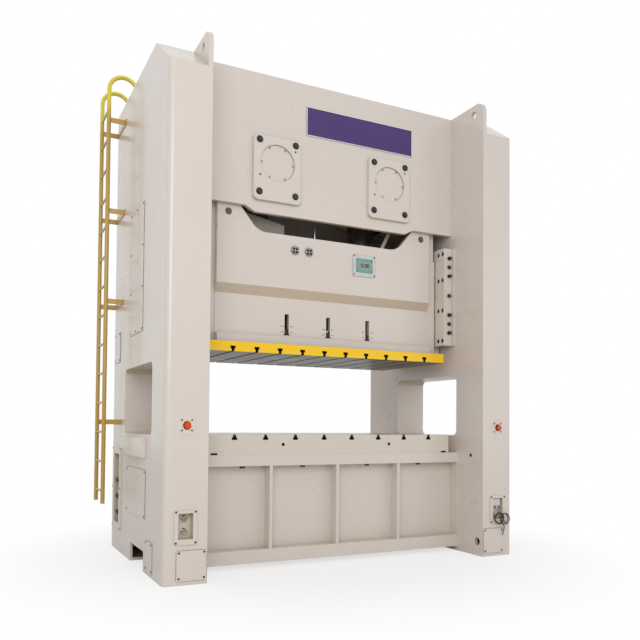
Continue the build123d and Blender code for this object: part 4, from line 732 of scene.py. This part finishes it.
def button_screw(radius, height):
    """A low round head with a socket in it, which looks up and stands on the ground."""
    screw = disc(20, radius, height)
    bpy.ops.mesh.inset(thickness=radius * 0.28)
    bpy.ops.transform.translate(value=(0.0, 0.0, height * 0.25))
    bpy.ops.mesh.inset(thickness=radius * 0.25)
    push(z=-height * 0.7)
    return close(screw)


def corner_spots(side, low, high, margin, along=0, across=0):
    """Spots round a plate: its corners, and more between them along and across it."""
    first, face = {"front": (0, low[1]), "left": (1, low[0]), "right": (1, high[0])}[side]
    a0, a1 = low[first] + margin, high[first] - margin
    b0, b1 = low[2] + margin, high[2] - margin
    flat = []
    for step in range(along + 2):
        a = a0 + (a1 - a0) * step / (along + 1)
        flat += [(a, b0), (a, b1)]
    for step in range(1, across + 1):
        b = b0 + (b1 - b0) * step / (across + 1)
        flat += [(a0, b), (a1, b)]
    return [(side, (a, face, b) if side == "front" else (face, a, b)) for a, b in flat]


panel_spots = []
for low, high in loose_boxes("side_panels"):
    side = "front" if high.y - low.y < thin_plate else ("left" if low.x < 0 else "right")
    tall = high.z - low.z > tall_panel
    panel_spots += corner_spots(side, low, high, panel_margin, int(tall), 2 * int(tall))
panel_spots += corner_spots("left", *loose_boxes("access_door")[0], panel_margin)
panel_spots += corner_spots("left", *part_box("connector_box"), box_margin, across=1)
for node in ("left_socket_box", "right_socket_box"):
    panel_spots += corner_spots("front", *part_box(node), box_margin)
panel_screw = button_screw(0.0085, 0.006)
fasten(panel_screw, panel_spots, "panel_screws")
print("panel screws:", len(panel_spots))

# %% [markdown]
# ## Shadow lines round the covers
# The thin dark line round each cover is painted shadow: a dark strip as thick as the sheet,
# a little larger than the cover all round, which lies against the wall behind it.

# %% Painted shadow strips round the covers
# Painted shadow: each strip is a dark sheet that stands for the thin line of shadow round a cover.
shadow_strip, shadow_strip_corner = 0.0025, 0.018
shadow_strips = []
for low, high in loose_boxes("side_panels") + loose_boxes("access_door"):
    normal = 1 if high.y - low.y < thin_plate else 0
    grow = Vector((shadow_strip, shadow_strip, shadow_strip))
    grow[normal] = 0.0
    low, high = low - grow, high + grow
    if normal == 0 and low.x > 0:
        high.x = low.x + shadow_strip
    else:
        low[normal] = high[normal] - shadow_strip
    shadow_strips.append(slab(low, high, normal, shadow_strip_corner))
settle(join(shadow_strips), "cover_shadow_strips", "frame", seal_and_shadow_rubber)
print("gaskets:", len(shadow_strips))

# %% [markdown]
# ## Sign plate
# The sign is a bare enamelled plate with a thin white rim. The rim is one flat frame: a plane the
# size of the plate, inset once, its middle deleted, and given a thickness.

# %% White rim of the sign
low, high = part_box("sign_plate")
rim = begin(bpy.ops.mesh.primitive_plane_add, size=1.0)
bpy.ops.transform.resize(value=(high[0] - low[0], high[2] - low[2], 1.0))
bpy.ops.mesh.inset(thickness=0.008)
bpy.ops.mesh.delete(type="FACE")
bpy.ops.object.mode_set(mode="OBJECT")
solid = rim.modifiers.new("thickness", "SOLIDIFY")
solid.thickness = 0.0016
solid.offset = 1.0
bpy.ops.object.modifier_apply(modifier="thickness")
rim.data.transform(Matrix.Translation(middle_spot(low, high)[1]) @ facing["front"])
settle(rim, "sign_rim", "frame", white)
print("sign rim faces:", len(rim.data.polygons))

# %% [markdown]
# ## Bearing covers
# Each cover has two dowels beside its bolts, which show as small black dots, and every bolt sits on
# a thin washer. A washer is a cylinder whose top is inset and pushed down to the hole.

# %% Washers and dowels on the covers
bolt_head = 0.04
cover_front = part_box("bearing_covers")[0][1]
head_spots, dowel_spots = [], []
for low, high in loose_boxes("cover_bolts"):
    if high.x - low.x > bolt_head:
        head_spots.append(middle_spot(low, high, cover_front))
for low, high in loose_boxes("bearing_covers"):
    dowel_spots += [("front", (high.x - 0.062, low.y, high.z - 0.115)),
                    ("front", (low.x + 0.066, low.y, low.z + 0.235))]
plain_washer = washer(0.033, 0.024, 0.003)
dowel = button_screw(0.009, 0.003)
fasten(plain_washer, head_spots, "cover_washers")
fasten(dowel, dowel_spots, "cover_dowels")
print("washers:", len(head_spots), "dowels:", len(dowel_spots))

# %% [markdown]
# ## Slide front
# The two round sight plugs have a cross of four holes, the ears carry dark grey plugs, and each
# knockout slot has eight small screws beside it. The display has a screwed frame.

# %% Plugs in the ears and sight plugs
ear_distance = 0.8
fitting_spots, ear_spots = [], []
for low, high in loose_boxes("slide_fittings"):
    spot = middle_spot(low, high)
    (ear_spots if abs(spot[1][0]) > ear_distance else fitting_spots).append(spot)
plug = soften(lathe(32, 0.034, 0.006, (0.006, 0.003)), 0.001)
set_out(plug, ear_spots, "ear_plugs", "slide", ash_plastic)
sight = lathe(40, 0.036, 0.010, (0.006, -0.004))
set_out(sight, fitting_spots, "sight_rims", "slide", turned_steel)
seal = soften(washer(0.041, 0.0345, 0.007), 0.001)
set_out(seal, fitting_spots, "sight_seals", "slide", seal_and_shadow_rubber)
hole = button_screw(0.0115, 0.0015)
set_out(hole, square_of(fitting_spots, 0.015, 0.006), "sight_holes", "slide",
        black_plastic)
print("slide front:", len(ear_spots), "ear plugs,", len(fitting_spots), "sight plugs")

# %% Screws beside the knockout slots and on the display
lower_front = 0.005
slot_spots = []
for node in ("left_knockout_bar", "middle_knockout_bar", "right_knockout_bar"):
    low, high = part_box(node)
    slot_spots += [("front", ((low[0] + high[0]) / 2 + dx, low[1] - lower_front, low[2] + dz))
                   for dx in (-0.058, -0.042, 0.042, 0.058) for dz in (0.030, 0.085)]
slot_screw = button_screw(0.0045, 0.003)
fasten(slot_screw, slot_spots, "slot_screws", "slide")
display_screw = button_screw(0.008, 0.004)
fasten(display_screw, corner_spots("front", *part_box("display_frame"), 0.016), "display_screws", "slide")
print("slot screws:", len(slot_spots))

# %% [markdown]
# ## Display
# Behind its frame the display has a tinted surround, a pale window and three plain digits. The
# digits are a text object with a little depth, made a mesh before it is put in place.

# %% Surround and window
low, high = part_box("display_screen")
surround = slab((low[0] + 0.004, low[1] - 0.002, low[2] + 0.004),
                (high[0] - 0.004, low[1] + 0.001, high[2] - 0.004), 1, 0.008)
settle(surround, "display_surround", "slide", teal_plastic)
window = slab((low[0] + 0.040, low[1] - 0.004, low[2] + 0.036),
              (high[0] - 0.022, low[1] - 0.001, high[2] - 0.034), 1, 0.004)
settle(window, "display_window", "slide", window_grey)
inner_low, inner_high = [low[0], low[1] - 0.002, low[2]], high
inner_spots = corner_spots("front", inner_low, inner_high, box_margin)
fasten(slot_screw, inner_spots, "display_inner_screws", "slide")
print("display:", surround.name, window.name)

# %% Digits
let_go()
bpy.ops.object.text_add(location=(0.0, 0.0, 0.0))
text = bpy.context.active_object.data
text.body = "0.00"
text.align_x = "CENTER"
text.align_y = "CENTER"
text.size = 0.060
text.offset = 0.0011
text.extrude = 0.0008
bpy.ops.object.convert(target="MESH")
digits = bpy.context.active_object
spot = Vector(middle_spot(low, high)[1]) + Vector((0.009, -0.0045, 0.0))
digits.data.transform(Matrix.Translation(spot) @ facing["front"])
settle(digits, "display_digits", "slide", black_plastic)
print("digits:", len(digits.data.vertices), "points")

# %% [markdown]
# ## Stop buttons
# A stop button stands in a yellow collar on a pale plate that four screws hold. The collar is a
# washer with a rounded rim.

# %% Collars and plate screws
stop_spots = [middle_spot(low, high) for low, high in loose_boxes("stop_plates")]
collar = soften(washer(0.044, 0.030, 0.010), 0.002)
set_out(collar, stop_spots, "button_collars", "frame", yellow_plastic)
plate_screw = button_screw(0.007, 0.004)
fasten(plate_screw, square_of(stop_spots, 0.042), "stop_plate_screws")
print("collars:", len(stop_spots))

# %% [markdown]
# ## Sockets
# The box at the left foot has two round metal sockets, each a flange with a threaded collar, a dark
# insert and contact pins. The box at the back has three black square sockets, whose spring lids stand
# out to the edge of the frame. They take the place of the plain solids.

# %% Round sockets
pin_circle, pin_depth = 0.010, 0.0165
sockets = loose_boxes("sockets")
round_spots = [middle_spot(low, high, high.y) for low, high in sockets if high.y < 0]
shell = soften(lathe(36, 0.027, 0.006, (0.004, 0.020), (0.004, -0.014)), 0.0006)
insert = lathe(28, 0.0185, 0.004, (0.003, 0.0015), base=(0.0, 0.0, 0.012))
contact = button_screw(0.0028, 0.006)
contact_spots = []
for side, (x, y, z) in round_spots:
    contact_spots += ring_of(side, (x, y - pin_depth, z), pin_circle,
                             [radians(angle) for angle in range(30, 390, 72)])
round_sockets = set_out(shell, round_spots, "round_sockets", "frame", turned_steel)
set_out(insert, round_spots, "socket_inserts", "frame", black_plastic)
set_out(contact, contact_spots, "socket_contacts", "frame", bronze)
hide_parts("sockets")
print("round sockets:", len(round_spots))

# %% Square sockets
lid_depth, lid_width = 0.050, 0.110
lids = []
for low, high in sockets:
    if high.y < 0:
        continue
    y = (low.y + high.y) / 2
    body = begin(bpy.ops.mesh.primitive_cube_add, size=1.0)
    bpy.ops.transform.resize(value=(lid_depth, lid_width, high.z - low.z))
    bpy.ops.transform.translate(value=(high.x - lid_depth / 2, y, (low.z + high.z) / 2))
    pick(body, lambda face: face.normal.x < -0.9)
    bpy.ops.mesh.inset(thickness=0.004)
    push(x=-0.034)
    bpy.ops.mesh.inset(thickness=0.003)
    push(x=-0.004)
    lids.append(soften(close(body), 0.002))
square_sockets = settle(join(lids), "square_sockets", "frame", black_plastic)
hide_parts("sockets")
print("square sockets:", len(lids))

# %% [markdown]
# ## Inside the gap above the slide
# Between the crown and the slide's front panel a dark gap shows the top of the slide: a stiffening
# plate on the left, an oil pipe that stands up in the middle, and a slanted strap on the right. Each
# starts as a block or a cylinder, and one of its faces or edges is moved to give it its shape.

# %% Stiffener, pipe and strap on the slide
slide_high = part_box("slide_body")[1]
slide_roof = slide_high[2] - 0.340
stiffener = slab((-0.900, -0.380, slide_roof), (-0.450, -0.360, slide_roof + 0.275))
bpy.ops.object.mode_set(mode="EDIT")
pick(stiffener, lambda edge: all(vertex.co.x > -0.46 and vertex.co.z > slide_roof + 0.2
                                 for vertex in edge.verts), "EDGE")
bpy.ops.transform.translate(value=(0.0, 0.0, -0.085))
stiffener = soften(close(stiffener), 0.003)
# Painted shade: the stiffener's grey is darkened for the shade it stands in.
settle(stiffener, "slide_stiffener", "slide", shade_darkened_primer)
pipe = soften(lathe(24, 0.030, 0.020, (0.018, 0.260), (-0.006, 0.020),
                    base=(-0.080, -0.300, slide_roof)), 0.0015)
settle(pipe, "slide_oil_pipe", "slide", steel)
strap = slab((0.630, -0.312, slide_roof), (0.672, -0.300, slide_roof + 0.285))
bpy.ops.object.mode_set(mode="EDIT")
pick(strap, lambda face: face.normal.z > 0.9)
bpy.ops.transform.translate(value=(0.145, 0.0, 0.0))
strap = soften(close(strap), 0.002)
settle(strap, "slide_strap", "slide", warm_grey)
print("in the gap:", stiffener.name, pipe.name, strap.name)

# %% [markdown]
# ## Wings beside the ears
# Outside each ear a narrow strip of painted plate rises as high as the ear. It is a plate behind
# the ear, and it stands on the top of the slide.

# %% Four wing plates
wing_inner, wing_outer, ear_back, wing_plate, below_ear = 1.160, 1.272, -0.4498, 0.016, 0.008
wings = []
for side in (-1, 1):
    for end in (-1, 1):
        xs = sorted((side * wing_inner, side * wing_outer))
        ys = sorted((-end * ear_back, -end * (ear_back + wing_plate)))
        wing = slab((xs[0], ys[0], slide_roof), (xs[1], ys[1], slide_high[2] - below_ear))
        wings.append(soften(wing, 0.002))
settle(join(wings), "slide_wings", "slide", warm_grey)
print("wings:", len(wings))

# %% [markdown]
# ## Motor
# The motor is a ribbed cast shell. One cooling rib is a thin block, and copies of it stand round the
# shell, left out where the feet and the terminal box are. The fan cover is a cylinder whose end is
# inset again and again, every other ring pushed in, which makes a round grille.

# %% Cooling ribs
low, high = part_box("motor")
axle = Vector(((low[0] + high[0]) / 2, 0.0, high[2] - 0.260))
shell_radius = 0.200
rib_master = slab((-0.002, 0.455, shell_radius - 0.002), (0.002, 0.925, shell_radius + 0.014))
rib_angles = [radians(angle) for angle in range(0, 360, 9) if 27 < angle < 130 or 230 < angle < 333]
ribs = copies(rib_master, [Matrix.Translation(axle) @ Matrix.Rotation(angle, 4, "Y")
                           for angle in rib_angles])
settle(ribs, "motor_ribs", "frame", motor_grey)
print("cooling ribs:", len(rib_angles))

# %% Fan cover, terminal lid and lifting eye
cover = disc(48, 0.206, 0.100, base=(0.0, 0.0, -0.050))
bpy.ops.mesh.inset(thickness=0.020)
for ring in range(6):
    push(z=-0.006 if ring % 2 == 0 else 0.006)
    bpy.ops.mesh.inset(thickness=0.014)
cover = soften(close(cover), 0.0015)
cover.data.transform(Matrix.Translation((axle.x, low[1] + 0.030, axle.z)) @ facing["front"])
settle(cover, "motor_fan_cover", "frame", motor_grey)
box_low = (axle.x - 0.098, low[1] + 0.197, high[2] - 0.012)
box_high = (axle.x + 0.098, low[1] + 0.393, high[2] + 0.004)
lid = soften(slab(box_low, box_high, 2, 0.010), 0.002)
settle(lid, "terminal_box_lid", "frame", motor_grey)
lid_margin = 0.016
lid_spots = [("up", (x, y, box_high[2])) for x in (box_low[0] + lid_margin, box_high[0] - lid_margin)
             for y in (box_low[1] + lid_margin, box_high[1] - lid_margin)]
small_screw = button_screw(0.006, 0.004)
fasten(small_screw, lid_spots, "terminal_lid_screws")
let_go()
bpy.ops.mesh.primitive_torus_add(major_radius=0.024, minor_radius=0.006, major_segments=32,
                                 minor_segments=12, location=(0.0, 0.0, 0.0),
                                 rotation=(radians(90), 0.0, 0.0))
eye = bpy.context.active_object
eye_place = Matrix.Translation((axle.x, high[1] - 0.130, axle.z + shell_radius + 0.030))
eye.data.transform(eye_place @ facing["front"])
eye.matrix_world = Matrix.Identity(4)
bpy.ops.object.shade_smooth()
settle(eye, "motor_lifting_eye", "frame", black_steel)
print("motor:", cover.name, lid.name, eye.name)

# %% Foot bolts
def hex_bolt(across, height):
    """A hexagon head on a washer, which looks up."""
    head = disc(6, across / 1.732, height, base=(0.0, 0.0, 0.003))
    bpy.ops.mesh.inset(thickness=across * 0.06)
    bpy.ops.transform.translate(value=(0.0, 0.0, height * 0.08))
    return join([close(head, 25.0), washer(across * 0.72, across * 0.3, 0.003)])


foot_bolt = hex_bolt(0.030, 0.014)
foot_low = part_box("motor_base")[1][2] + 0.030
foot_spots = [("up", (axle.x + dx, y, foot_low)) for dx in (-0.180, 0.180) for y in (0.540, 0.860)]
fasten(foot_bolt, foot_spots, "motor_foot_bolts")
print("foot bolts:", len(foot_spots))

# %% [markdown]
# ## Guard and clutch
# The belt guard is bent sheet, held by screws along its rim: round the big wheel, round the small
# one, and on the two straight sides that touch both. The clutch cover has a ring of hexagon bolts
# and an air union in its middle.

# %% Guard screws and louvres
guard_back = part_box("belt_guard")[1][1]
wheel = middle_spot(*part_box("flywheel"))[1]
wheel, pulley = Vector((wheel[0], wheel[2])), Vector((axle.x, axle.z))
big, small, wrap = 0.478, 0.140, radians(67.7)
lean = (pulley - wheel).angle_signed(Vector((1.0, 0.0)))


def on_circle(middle, radius, angle):
    """A point on a circle in the plane of the guard."""
    return middle + radius * Vector((cos(angle), sin(angle)))


rim_spots = [on_circle(wheel, big, lean + wrap + (2 * pi - 2 * wrap) * step / 8) for step in range(9)]
rim_spots += [on_circle(pulley, small, lean - wrap + 2 * wrap * step / 4) for step in range(5)]
for angle in (lean - wrap, lean + wrap):
    start, end = on_circle(wheel, big, angle), on_circle(pulley, small, angle)
    rim_spots += [start.lerp(end, share) for share in (1 / 3, 2 / 3)]
fasten(small_screw, [("back", (x, guard_back, z)) for x, z in rim_spots], "guard_screws")
louvre = begin(bpy.ops.mesh.primitive_cube_add, size=1.0)
bpy.ops.transform.resize(value=(0.150, 0.016, 0.010))
bpy.ops.transform.translate(value=(0.0, 0.0, 0.005))
pick(louvre, lambda edge: all(vertex.co.y > 0 and vertex.co.z > 0.009 for vertex in edge.verts), "EDGE")
bpy.ops.transform.translate(value=(0.0, 0.0, -0.008))
louvre = soften(close(louvre), 0.0015)
louvre_spots = [("back", (0.300, guard_back, 4.520 + 0.034 * step)) for step in range(6)]
set_out(louvre, louvre_spots, "guard_louvres", "frame", warm_grey)
print("guard screws:", len(rim_spots), "louvres:", len(louvre_spots))

# %% Clutch bolts and air union
bolt_circle = 0.135
clutch_low, clutch_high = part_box("clutch")
hub = Vector(middle_spot(clutch_low, clutch_high, clutch_high[1])[1])
clutch_bolt = hex_bolt(0.024, 0.010)
clutch_spots = ring_of("back", hub, bolt_circle, [2 * pi * step / 8 for step in range(8)])
fasten(clutch_bolt, clutch_spots, "clutch_bolts", "pinion")
union = soften(lathe(32, 0.046, 0.012, (0.016, 0.022), (0.008, 0.008)), 0.0015)
union.data.transform(Matrix.Translation(hub) @ facing["back"])
settle(union, "air_union", "pinion", turned_steel)
print("clutch bolts:", len(clutch_spots))

# %% [markdown]
# ## Welds
# The bed's ribs and the seams between the bed and the uprights are welded. A weld bead is a thin
# rod, cut into many short lengths, whose points are then stirred a little, so that it looks laid by
# hand. It is sunk by half into the corner that it fills.

# %% Weld beads
bead_radius, bead_pitch = 0.005, 0.016


def bead(spot, length, seed):
    """A bead that stands upright from a spot."""
    rod = begin(bpy.ops.mesh.primitive_cylinder_add, vertices=8, radius=bead_radius, depth=length,
                location=(spot[0], spot[1], spot[2] + length / 2))
    pick(rod, lambda edge: abs(edge.verts[0].co.z - edge.verts[1].co.z) > length * 0.9, "EDGE")
    bpy.ops.mesh.subdivide(number_cuts=max(8, int(length / bead_pitch)))
    bpy.ops.mesh.select_all(action="SELECT")
    bpy.ops.transform.vertex_random(offset=0.0018, seed=seed)
    return close(rod, 60.0)


beads = []
for low, high in loose_boxes("bed_ribs"):
    seat = high.y if high.y < 0 else low.y
    for x in (low.x, high.x):
        beads.append(bead((x, seat, low.z), high.z - low.z, len(beads)))
low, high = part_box("bed")
for x in (low[0], high[0]):
    for y in (low[1], high[1]):
        beads.append(bead((x, y, low[2]), high[2] - low[2], len(beads)))
settle(join(beads), "weld_beads", "frame", warm_grey)
print("weld beads:", len(beads))

# %% [markdown]
# ## Ladder
# Each rung goes into its stiles through a small weld collar. The collar is a short cone, and one
# stands at both ends of every rung.

# %% Collars on the rungs
cone = begin(bpy.ops.mesh.primitive_cone_add, vertices=20, radius1=0.0155, radius2=0.0125, depth=0.007,
             location=(0.0, 0.0, 0.0035))
cone = soften(close(cone), 0.001)
rung_spots = []
for low, high in loose_boxes("ladder_rungs"):
    x, z = (low.x + high.x) / 2, (low.z + high.z) / 2
    rung_spots += [("back", (x, low.y, z)), ("front", (x, high.y, z))]
set_out(cone, rung_spots, "rung_collars", "frame", golden)
print("rung collars:", len(rung_spots))

# %% [markdown]
# ## Grommets in the inner walls
# Below each window a small hole goes through the inner wall, for a safety pin. A rubber ring lines
# its mouth and makes it look dark.

# %% Pin hole grommets
pin_setback, pin_drop = 0.190, 0.207
grommet = soften(washer(0.019, 0.0105, 0.003), 0.001)
pin_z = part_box("bolster")[1][2] - pin_drop
pin_spots = []
for node, side, corner in (("left_upright", "right", 1), ("right_upright", "left", 0)):
    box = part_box(node)
    pin_spots.append((side, (box[corner][0], box[0][1] + pin_setback, pin_z)))
set_out(grommet, pin_spots, "pin_hole_grommets", "frame", rubber)
print("grommets:", len(pin_spots))

# %% Put the patterns away
put_away(panel_screw, plain_washer, dowel, plug, sight, seal, hole, slot_screw, display_screw, collar,
         plate_screw, shell, insert, contact, rib_master, small_screw, foot_bolt, louvre, clutch_bolt,
         cone, grommet)

# %% [markdown]
# ## Floor, backdrop and lamps
# The studio is white. The floor keeps the machine's shadow, and both floor and sky are plain white
# to the camera itself, so that the picture has a clean ground without more light on the paint.

# %% Floor
let_go()
bpy.ops.mesh.primitive_plane_add(size=60.0, location=(0.0, 0.0, -0.001))
floor = bpy.context.active_object
floor.name = "studio_floor"
floor_paint, tree, matte = new_material("studio floor")
wire(tree, (0.90, 0.90, 0.90), matte.inputs["Base Color"])
matte.inputs["Roughness"].default_value = 0.9
glow = add(tree, "Emission", {"Strength": 1.0})
distance = add(tree, "VectorMath", operation="LENGTH")
wire(tree, place_in(tree), distance.inputs[0])
far_off = remap(tree, distance.outputs["Value"], 1.4, 3.6, 0.68, 1.0)
seen = add(tree, "LightPath").outputs["Is Camera Ray"]
mixed = add(tree, "MixShader")
wire(tree, product(tree, far_off, seen), mixed.inputs[0])
wire(tree, matte.outputs[0], mixed.inputs[1])
wire(tree, glow.outputs[0], mixed.inputs[2])
wire(tree, mixed.outputs[0], tree.nodes["Material Output"].inputs["Surface"])
floor.data.materials.append(floor_paint)
print("floor:", floor.name)

# %% Sky
world = bpy.data.worlds.new("studio")
bpy.context.scene.world = world
world.use_nodes = True
tree = world.node_tree
background = tree.nodes["Background"]
rays = add(tree, "LightPath").outputs
seen = math(tree, "MAXIMUM", rays["Is Camera Ray"], rays["Is Transmission Ray"])
level = add(tree, "MapRange", {"To Min": 0.62, "To Max": 1.0})
wire(tree, math(tree, "MAXIMUM", seen, rays["Is Glossy Ray"]), level.inputs["Value"])
wire(tree, level.outputs[0], background.inputs["Strength"])
wire(tree, (1.0, 1.0, 1.0), background.inputs["Color"])
print("sky:", world.name)

# %% Lamps
def lamp(name, place, target, size, watts):
    """A soft square lamp that faces a point."""
    data = bpy.data.lights.new(name, "AREA")
    data.shape = "SQUARE"
    data.size = size
    data.energy = watts
    item = bpy.data.objects.new(name, data)
    item.location = place
    item.rotation_euler = (Vector(target) - Vector(place)).to_track_quat("-Z", "Y").to_euler()
    bpy.context.scene.collection.objects.link(item)


lamp("key", (-4.2, -8.6, 4.6), (0.0, 0.0, 2.2), 4.5, 250.0)
lamp("fill", (8.0, -9.0, 3.0), (0.0, 0.0, 2.0), 5.0, 50.0)
bpy.context.scene.view_settings.view_transform = "Standard"
